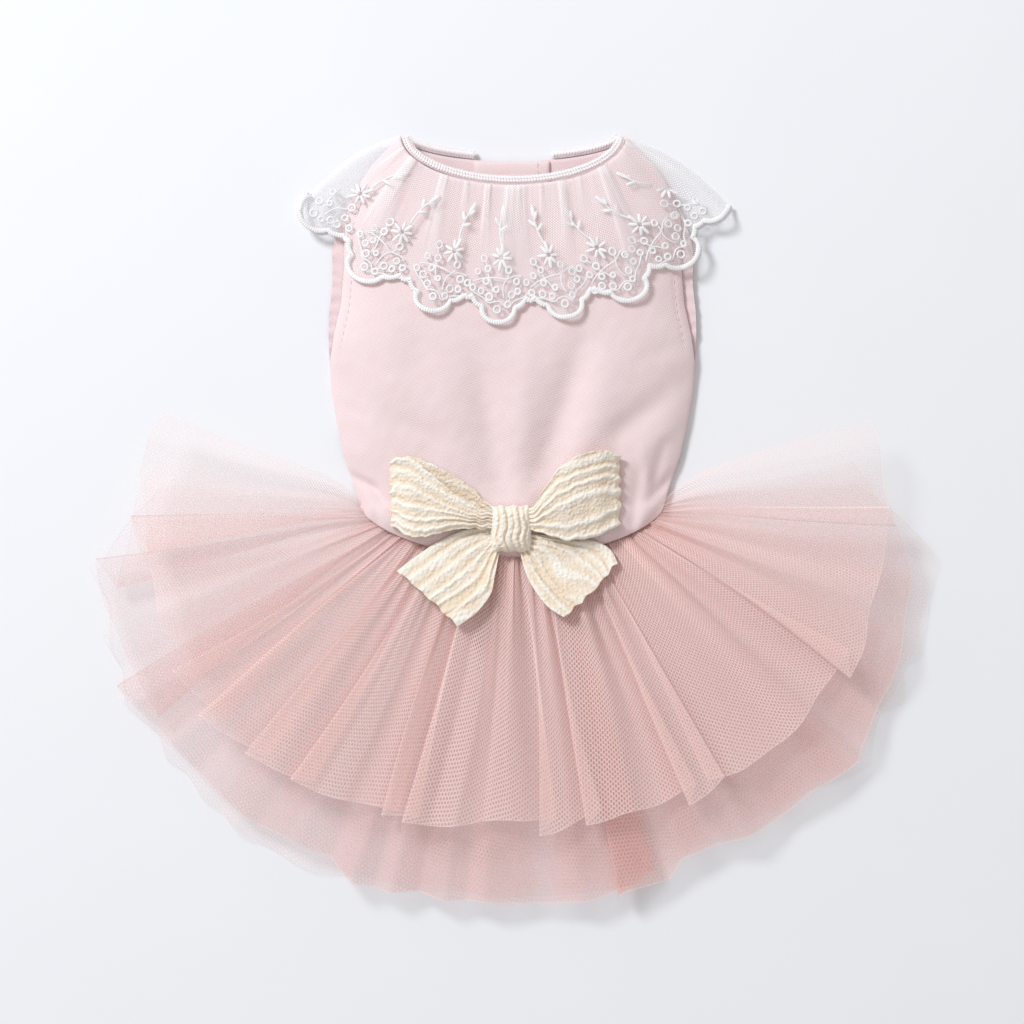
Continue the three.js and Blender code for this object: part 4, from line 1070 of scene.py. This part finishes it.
def petal(lobe, s, d, turn, length, width):
    """A satin stitch: a plump spindle."""
    t = np.linspace(0, 1, 7)
    a = np.radians(turn)
    points = lace_xy(lobe, s + t * length * np.cos(a), d + t * length * np.sin(a))
    if on_band(points):
        path = on_lace(points)
        path[:, 2] += 0.2
        plump = width / 2 * np.sqrt(np.clip(np.sin(np.pi * (0.08 + 0.84 * t)), 0, 1))
        embroidery.add(tube_mesh(path, plump, sides=8, flat=0.28))


print("points of the corded edge:", embroidery.count)

# %% [markdown]
# One repeat is stitched for each scallop: a cluster of eyelets joined by cords, a flower above them
# and a leafy sprig that points to the neck. Small seeded shifts keep the repeats from being copies.

# %% Stitch the repeats
RINGS = [
    # along, in, size: eyelets of one repeat
    (0.2, 5.6, 2.9), (-3.8, 7.6, 2.3), (4.8, 9.4, 2.6), (8.6, 11.8, 2.5), (-5.0, 11.4, 2.9),
    (-8.6, 12.8, 2.5), (-7.4, 16.8, 2.7), (-3.8, 21.4, 2.8), (8.9, 25.4, 3.0), (6.2, 20.8, 2.6),
    (12.6, 12.4, 2.4), (-11.8, 16.4, 2.4), (1.8, 13.2, 2.1), (6.4, 15.8, 2.4), (11.0, 19.0, 2.4),
]
PETALS, FLOWER = 8, (0.6, 26.4)
dice = np.random.default_rng(7)
for lobe in range(len(LOBES)):
    for s, d, size in RINGS:
        off = dice.uniform(-0.5, 0.5, 2)
        ring(lobe, s + off[0], d + off[1], size * dice.uniform(0.9, 1.1), dice.uniform(0.85, 1.1))
    for k in range(PETALS):
        turn = k * 45 + 6 + dice.uniform(-8, 8)
        s = FLOWER[0] + 0.9 * math.cos(math.radians(turn))
        d = FLOWER[1] + 0.9 * math.sin(math.radians(turn))
        length = (4.2 if k % 2 else 5.0) * dice.uniform(0.9, 1.08)
        petal(lobe, s, d, turn, length, dice.uniform(1.25, 1.55))
    cord(lobe, [(1.0, 31.0), (2.6, 35.5), (3.4, 40.0), (2.8, 44.5)], 0.8, steps=18)
    petal(lobe, 2.9, 37.2, 150, 4.8, 1.5)
    petal(lobe, 3.3, 39.2, 40, 5.0, 1.5)
    petal(lobe, 2.8, 42.5, 96, 5.6, 1.7)
    petal(lobe, 2.6, 42.0, 128, 4.0, 1.2)
    cord(lobe, [(-13.2, 12.0), (-10.0, 9.8), (-6.4, 9.2), (-3.6, 5.0), (-1.4, 8.6), (1.8, 8.4),
                (4.4, 7.0), (7.0, 9.4), (10.8, 10.2), (13.6, 12.0)], 0.72, steps=34)
    cord(lobe, [(-10.4, 18.6), (-7.0, 19.4), (-2.6, 17.4), (1.2, 18.0), (4.6, 17.8), (8.8, 17.0),
                (12.6, 15.0)], 0.72, steps=26)
    cord(lobe, [(-3.8, 19.8), (-3.2, 17.6), (-1.6, 16.4), (-1.2, 12.6), (-2.4, 9.4)], 0.65)
    cord(lobe, [(6.2, 19.4), (5.6, 17.2), (4.0, 15.4), (2.8, 11.6)], 0.65)
    cord(lobe, [(8.6, 24.0), (7.2, 22.2)], 0.65, steps=5)
    cord(lobe, [(-4.8, 9.8), (-4.2, 8.8)], 0.65, steps=4)
lace_work = embroidery.make("collar_embroidery")
settle(lace_work, None, lace_thread)

# %% [markdown]
# The lace goes on round the neck and ends at the placket, below the belly side. Little of it shows,
# so it lies flat, with only its net and its corded edge.

# %% Lace under the belly
UNDER_RIGHT_END, UNDER_LEFT_END = 86.85, 94.85
for side, low, high in (("right", COLLAR_START, UNDER_RIGHT_END), ("left", UNDER_LEFT_END, COLLAR_END)):
    at = np.linspace(low, high, 260)[:, None]
    out = np.linspace(0, 1, 26)[None, :]
    x, y = collar_xy(at, out, NECK_DROP_BELLY, scallop_reach(at[:, 0])[:, None])
    grid = np.stack([x, y, 0.5 + 0 * x], axis=-1)
    uv = np.stack([at * 1.45 + 0 * out, np.hypot(x - x[:, :1], y - y[:, :1])], axis=-1)
    values = {"gather": 0 * x, "edge": 0 * x, "cover": 0 * x + 1}
    under = cloth_sheet("under_lace_" + side, grid, uv, values)
    settle(under, "lace_collar_under_" + side, lace_net)
    rim = Heap()
    edge = np.stack([x[:, -1], y[:, -1], 0.75 + 0 * x[:, -1]], axis=1)
    rim.add(tube_mesh(edge, 0.75, sides=6, flat=0.6))
    cord_edge = rim.make("under_lace_edge_" + side)
    settle(cord_edge, None, lace_thread)

# %% [markdown]
# ## Neck binding
# The neck is bound with a soft white knitted tape. Its face is a chain of slanted stitches, and
# its inner edge has small picots. On the belly side a zigzag stitch holds the same tape down.

# %% Bind the neck
tape_finish = knit_finish("white knitted tape", (255, 251, 251), (248, 238, 239), 0.3)
TAPE_RADIUS, TAPE_IN, STITCH_STEP = 1.55, 2.0, 0.62


def binding(name, node, start, end, drop, height, zigzag=False):
    """Tape along the neck's edge, with its stitches, from one direction to another."""
    a = np.radians(np.linspace(start, end, 400))
    ring_x, ring_y = NECK_HALF * np.cos(a), NECK_Y - drop * np.sin(a)
    run = np.concatenate([[0], np.cumsum(np.hypot(np.diff(ring_x), np.diff(ring_y)))])
    stops = np.arange(0, run[-1], STITCH_STEP)
    a = np.interp(stops, run, a)
    beside = np.stack([-np.cos(a) / NECK_HALF, np.sin(a) / drop, 0 * a], axis=1)
    beside /= np.linalg.norm(beside, axis=1, keepdims=True)
    x = NECK_HALF * np.cos(a) + TAPE_IN * beside[:, 0]
    y = NECK_Y - drop * np.sin(a) + TAPE_IN * beside[:, 1]
    path = np.stack([x, y, height(x, y)], axis=1)
    ahead = np.stack([-beside[:, 1], beside[:, 0], 0 * a], axis=1)
    up = np.array([0, 0, 1.0])
    heap = Heap()
    heap.add(tube_mesh(path[::2], TAPE_RADIUS, sides=14, flat=0.55))
    dice = np.random.default_rng(len(name))
    for i in range(1, len(path) - 1):
        jitter = dice.uniform(-0.12, 0.12, 3)
        if zigzag:
            here, there = (0.8, -0.8) if i % 2 else (-0.8, 0.8)
            ends = [path[i - 1] + here * beside[i], path[i] + there * beside[i]]
            bead = np.stack([ends[0], (ends[0] + ends[1]) / 2, ends[1]]) + 0.95 * up
            heap.add(tube_mesh(bead, np.array([0.22, 0.26, 0.22]), sides=5))
        for sign in (-1, 1):
            root = path[i] + (0.25 * sign + jitter[0]) * beside[i] + 0.86 * up
            tip = path[i] + (1.2 * sign + jitter[1]) * beside[i] + (0.62 + jitter[2]) * up + 0.7 * ahead[i]
            bead = np.stack([root, lerp(root, tip, 0.5) + 0.12 * up, tip])
            if not zigzag and i % 2 == 0:
                heap.add(tube_mesh(bead, np.array([0.24, 0.42, 0.22]), sides=5))
        if i % 2:
            knob = path[i] + (1.5 + jitter[0]) * beside[i] + (0.25 + jitter[1]) * up
            bead = np.stack([knob - 0.3 * ahead[i], knob + 0.1 * beside[i], knob + 0.3 * ahead[i]])
            heap.add(tube_mesh(bead, np.array([0.18, 0.36, 0.18]), sides=5))
    tape = heap.make(name)
    settle(tape, node, tape_finish)


def low_tape(x, y):
    return 0 * x + 1.6


binding("neck_tape", "neck_binding", 3, 177, NECK_DROP_BACK, lambda x, y: back_underside(x, y) + KNIT)
binding("neck_tape_under_right", "neck_binding_under_right", 9, 70, NECK_DROP_BELLY, low_tape, True)
binding("neck_tape_under_left", "neck_binding_under_left", 110, 171, NECK_DROP_BELLY, low_tape, True)

# %% [markdown]
# ## Bow
# The bow is crinkled cotton, gathered tight under the knot. The creases run out from the knot and
# fade towards the cut ends, and the whole cloth is pebbled. The same unevenness that raises the
# cloth also colours it: the hollows get a painted beige shade and the crests a painted near-white
# highlight.

# %% Tables of the bow
BOW_LOOPS = {
    # x, upper and lower edge of the front layer, then of the layer behind it
    "left": np.array([
        (-6.0, 3.6, -3.8, 4.6, -3.0), (-10.0, 4.0, -4.4, 6.0, -3.2),
        (-15.5, 5.2, -4.2, 11.6, -2.4), (-24.0, 10.2, -4.6, 17.4, -2.6),
        (-33.5, 18.0, -7.2, 22.2, -4.0), (-42.0, 25.0, -7.4, 25.6, -4.6), (-49.5, 24.0, -3.4, 23.6, -2.6),
    ]),
    "right": np.array([
        (4.6, 3.4, -4.0, 2.8, -3.0), (8.6, 5.4, -5.2, 4.6, -3.8),
        (13.0, 12.4, -6.4, 11.0, -5.0), (20.0, 21.4, -8.8, 20.0, -7.0),
        (28.5, 26.2, -8.6, 25.0, -7.0), (36.5, 27.6, -6.6, 26.6, -5.2), (43.2, 26.2, -2.4, 25.4, -1.8),
    ]),
}
BOW_TAILS = {
    # outer edge x, y and inner edge x, y from the knot to the cut end
    "left": np.array([
        (-6.5, -4.8, -5.4, -11.5), (-11.6, -4.0, -6.2, -17.5),
        (-21.0, -5.2, -7.6, -24.5), (-30.0, -9.2, -9.0, -31.0),
        (-40.0, -15.8, -14.6, -38.4), (-47.2, -21.4, -22.4, -44.2),
    ]),
    "right": np.array([
        (5.4, -6.0, 2.6, -12.6), (13.5, -7.0, 3.6, -17.0),
        (24.0, -7.8, 5.4, -23.0), (33.6, -9.4, 9.2, -30.0),
        (40.2, -13.2, 14.6, -36.6), (43.2, -19.0, 21.0, -40.8),
    ]),
}
print("rows of a loop and of a tail:", len(BOW_LOOPS["left"]), len(BOW_TAILS["left"]))

# %% [markdown]
# Gathers under the knot open out into creases, which break up on the way to the edge. One function
# makes every layer of the bow from its outline, its height and its number of creases. How much
# narrower the strips are cut under the knot is an assumption.


def cover_top(x, y):
    """Height of what the bow lies on: the back panel or the top layer of the skirt."""
    return np.maximum(back_underside(x, y) + KNIT, tulle_band(LAYERS["tulle_top"], x, y)[1])


def curve_through(table, t):
    """Smooth values of every column at t, from 0 at the first row to 1 at the last."""
    rows = len(table)
    s = np.clip(np.asarray(t, float) * (rows - 1), 0, rows - 1 - 1e-9)
    i = s.astype(int)
    f = (s - i)[:, None]
    padded = np.concatenate([2 * table[:1] - table[1:2], table, 2 * table[-1:] - table[-2:-1]])
    a, b, c, d = (padded[i + k] for k in range(4))
    return 0.5 * (2 * b + (c - a) * f + (2 * a - 5 * b + 4 * c - d) * f**2 + (3 * b - a - 3 * c + d) * f**3)


def creased(across, out, count, seed):
    """Creases that run out from the knot and break up on the way: height from about -1 to 1."""
    drift = wander(out * 3, across * 3, 2.2, seed)
    broad = np.sin(2 * np.pi * count * across + 2.4 * drift)
    fine = np.sin(2 * np.pi * count * 1.9 * across + 4 * drift + 1)
    patches = wander(out * 4, across * 3, 1.3, seed + 2)
    return 0.62 * broad + 0.20 * fine + 0.26 * patches


def bow_piece(name, node, x, y, base, across, out, count, deep, seed, inside=0.0, step=0.0, inner=None):
    """A layer of the bow: creased, pebbled, and thinner towards its crinkled edges."""
    ridges = creased(across, out, count, seed)
    pebble = wander(x, y, 2.6, seed + 5, 12)
    edge = np.minimum(across, 1 - across)
    gathers = np.abs(np.sin(np.pi * 5.5 * across + 0.5 * wander(out * 3, across * 3, 2.2, seed + 3)))
    near_knot = np.exp(-((out / 0.26) ** 2))
    lift = deep * ridges * smooth(out / 0.35 + 0.1) + 1.5 * (gathers ** 0.6 - 0.75) * near_knot
    lift = lift + 0.08 * pebble
    z = base + lift - 0.3 * np.exp(-edge / 0.02) + step
    # Painted highlight and shade: crests, the long edges and the tops of gathers are coloured paler, and
    # troughs, the inside of a fold and the layer behind are coloured beiger.
    crown_shade = 0.58 + 0.40 * ridges + 0.06 * pebble + 0.25 * np.exp(-edge / 0.03) - inside
    crown_shade = lerp(crown_shade, 0.15 + 0.75 * gathers, near_knot * 0.8)
    grid = np.stack([x, y, z], axis=-1)
    other = None if inner is None else grid + 0.7 * inner
    values = {"crown_shade": np.clip(crown_shade, 0, 1)}
    piece = cloth_panel(name, grid, 0.7, grid[..., :2], values, up=inner is not None or None, inner=other)
    settle(piece, node, crinkle)
    widest = np.linalg.norm(np.diff(grid, axis=1), axis=2).sum(axis=1).argmax()
    flat = cut_size(grid.swapaxes(0, 1), hem=widest)
    print(name, "strip in m:", flat)


print("height below the knot in mm:", round(float(cover_top(-0.8, 5.1)), 2))

# %% [markdown]
# A loop is one strip: it goes out behind, turns at the outer fold and comes back in front, so that
# it stands a little open.

# %% Loops
for side, sign, seed in (("left", -1, 41), ("right", 1, 57)):
    # out along the layer behind, round the outer fold, and back along the front layer
    t = np.concatenate([np.linspace(0, 0.96, 90), np.linspace(0.965, 1.035, 14), np.linspace(1.04, 2, 110)])
    t = t[:, None]
    o = np.minimum(t, 2 - t)
    front = smooth((t - 0.965) / 0.07)
    rows = curve_through(BOW_LOOPS[side], o[:, 0])
    across = np.linspace(0, 1, 96)[None, :]
    upper, lower = lerp(rows[:, 3:4], rows[:, 1:2], front), lerp(rows[:, 4:5], rows[:, 2:3], front)
    frill = 0.6 * np.sin(across * 27 + 2 * wander(across * 9, 0 * across, 3, seed)) * o ** 6
    x = rows[:, :1] + sign * (0.8 * np.sin(np.pi * front) + frill)
    y = lerp(upper, lower, across)
    y = y + 0.35 * wander(x, 0 * x + 3, 6, seed + 9) * smooth(o * 4)
    top = 2.2 + 3.0 * np.sin(np.pi * np.minimum(0.72, o)) + 1.8 * np.sin(np.pi * across) * np.sin(np.pi * o)
    top = top * (1 - 0.45 * smooth((o - 0.78) / 0.22))
    base = cover_top(x, y) + lerp(1.1, 1.9 + top, front)
    rolled = 0.9 * np.exp(-((across / 0.05) ** 2)) * front * smooth(o / 0.3)
    over = np.stack([-sign * np.sin(np.pi * front), 0 * front, 1 - 2 * front], axis=-1) + 0 * x[..., None]
    # The layer behind gets painted shade through inside, so it looks beiger than the front.
    bow_piece("bow_" + side + "_loop", "bow_loop_" + side, x, y, base, across + 0 * o, o + 0 * across,
              5.6, 0.62 * (0.35 + 0.65 * front), seed, inside=0.30 * (1 - front), step=rolled,
              inner=over)

# %% [markdown]
# The tails come out below the loops and hang free. Each has a fold along its inner side, and its
# cut end is slightly ragged.

# %% Tails
for side, fold, seed in (("left", 0.80, 73), ("right", 0.82, 91)):
    out = np.linspace(0, 1, 110)
    rows = curve_through(BOW_TAILS[side], out)
    across = np.linspace(0, 1, 110)[None, :]
    o = out[:, None]
    x = lerp(rows[:, :1], rows[:, 2:3], across)
    y = lerp(rows[:, 1:2], rows[:, 3:4], across)
    ripple = 0.5 * wander(across * 40, 0 * across, 8, seed) * o ** 4
    x, y = x + 0.7 * ripple * (-1 if side == "left" else 1), y - 0.7 * ripple
    strip = 1.1 * smooth((across - fold) / 0.03) * smooth(o / 0.3) + 0.5 * np.sin(np.pi * across)
    base = cover_top(x, y) + 2.7 - 1.2 * np.exp(-((o / 0.16) ** 2))
    # The strip just inside the fold gets painted shade through inside.
    bow_piece("bow_" + side + "_tail", "bow_tail_" + side, x, y, base, across + 0 * o, o + 0 * across,
              6.2, 0.48, seed, step=strip,
              inside=0.5 * np.exp(-(((across - fold + 0.05) / 0.05) ** 2)))

# %% [markdown]
# The knot is a short band of the same cloth, wound round the middle and pulled into grooves.

# %% Knot
KNOT_X, KNOT_Y, KNOT_WIDE, KNOT_LONG, KNOT_RISE = -0.8, -4.4, 8.4, 9.5, 8.2
base = cover_top(KNOT_X, KNOT_Y + KNOT_LONG) + 0.6
across = np.sin(np.linspace(-np.pi / 2, np.pi / 2, 100))[:, None]
along = np.sin(np.linspace(-np.pi / 2, np.pi / 2, 90))[None, :]
bent = across + 0.06 * wander(along * 2, across, 2.0, 15) + 0.05 * along
rounded = (1 - np.abs(across) ** 3.2) ** 0.42 * (1 - np.abs(along) ** 4) ** 0.5
GROOVES = [
    # place across, depth and width
    (-0.62, 0.9, 0.07), (-0.22, 1.2, 0.06), (0.12, 0.7, 0.05), (0.45, 1.1, 0.07), (0.74, 0.7, 0.06),
]
grooves = sum(depth * np.exp(-(((bent - where) / width) ** 2)) for where, depth, width in GROOVES)
x = KNOT_X + across * KNOT_WIDE * (1 - 0.07 * np.abs(along) ** 2)
y = KNOT_Y + along * KNOT_LONG + 0.3 * np.sin(across * 9)
pebble = wander(x, y, 2.2, 16, 12)
z = base + 0.9 + (KNOT_RISE - 1.2) * rounded - grooves * rounded ** 0.5 + 0.12 * pebble
grid = np.stack([x, y, z], axis=-1)
foot = np.stack([x, y, 0 * z + base], axis=-1)
# Painted shade: the grooves are coloured beige through crown_shade.
crown_shade = {"crown_shade": np.clip(0.8 - 0.45 * grooves + 0.12 * pebble, 0, 1)}
knot = cloth_panel("bow_band", grid, 1.0, grid[..., :2], crown_shade, inner=foot)
settle(knot, "bow_knot", crinkle)

# %% [markdown]
# ## Table, light and camera
# The dress lies on a pale table under one large soft lamp at the upper left, and the room fills the
# shadows. The camera looks straight down through a long lens.

# %% Floor
floor_mesh = bpy.data.meshes.new("table")
floor_mesh.from_pydata([(-3, -3, 0), (3, -3, 0), (3, 3, 0), (-3, 3, 0)], [], [(0, 1, 2, 3)])
floor = bpy.data.objects.new("table", floor_mesh)
floor.location.z = -0.0002
scene.collection.objects.link(floor)
pale, n, shader = new_material("pale table", 0.9, specular=0.1)
tint = n.noise(flat_place(n), 0.02, 2.0)
n.link(n.mix(tint, srgb(243, 244, 247), srgb(245, 246, 249)), shader.inputs["Base Color"])
floor_mesh.materials.append(pale)
print("table top at mm:", round(floor.location.z / MM, 2))

# %% [markdown]
# The lamp is a little cool and the room is warmer, as in a studio with white walls. Where folds of
# three nets overlap, light passes more clear surfaces than the usual 8, so that limit is raised.

# %% Light and camera
ROOM_COLOUR, ROOM_LIGHT = (1.0, 0.985, 0.975, 1), 0.535
LAMP_WIDTH, LAMP_WATTS, LAMP_COLOUR, LAMP_PLACE = 0.62, 37.3, (0.915, 0.955, 1.0), (-1.2, 1.28, 1.5)
scene.view_settings.view_transform = "Standard"
scene.cycles.transparent_max_bounces = 20
world = bpy.data.worlds.new("room")
scene.world = world
world.use_nodes = True
world.node_tree.nodes["Background"].inputs["Color"].default_value = ROOM_COLOUR
world.node_tree.nodes["Background"].inputs["Strength"].default_value = ROOM_LIGHT
lamp_data = bpy.data.lights.new("soft lamp", "AREA")
lamp_data.shape = "DISK"
lamp_data.size = LAMP_WIDTH
lamp_data.energy = LAMP_WATTS
lamp_data.color = LAMP_COLOUR
lamp = bpy.data.objects.new("soft lamp", lamp_data)
lamp.location = LAMP_PLACE
lamp.rotation_euler = (Vector((0, 0, 0)) - lamp.location).to_track_quat("-Z", "Y").to_euler()
scene.collection.objects.link(lamp)

HEIGHT = 2.4
VIEW_WIDTH = 0.41984
camera_data = bpy.data.cameras.new("camera")
camera_data.sensor_fit = "HORIZONTAL"
camera_data.sensor_width = 36
camera_data.lens = 36 * (HEIGHT - 0.008) / VIEW_WIDTH
camera = bpy.data.objects.new("camera", camera_data)
camera.location = (-0.00041, 0.00246, HEIGHT)
scene.collection.objects.link(camera)
scene.camera = camera
print("lens in mm:", round(camera_data.lens, 1))

# %% [markdown]
# ## The finished dress
# Once every piece is in place, the scene is brought up to date.

# %% Bring the scene up to date
bpy.context.view_layer.update()
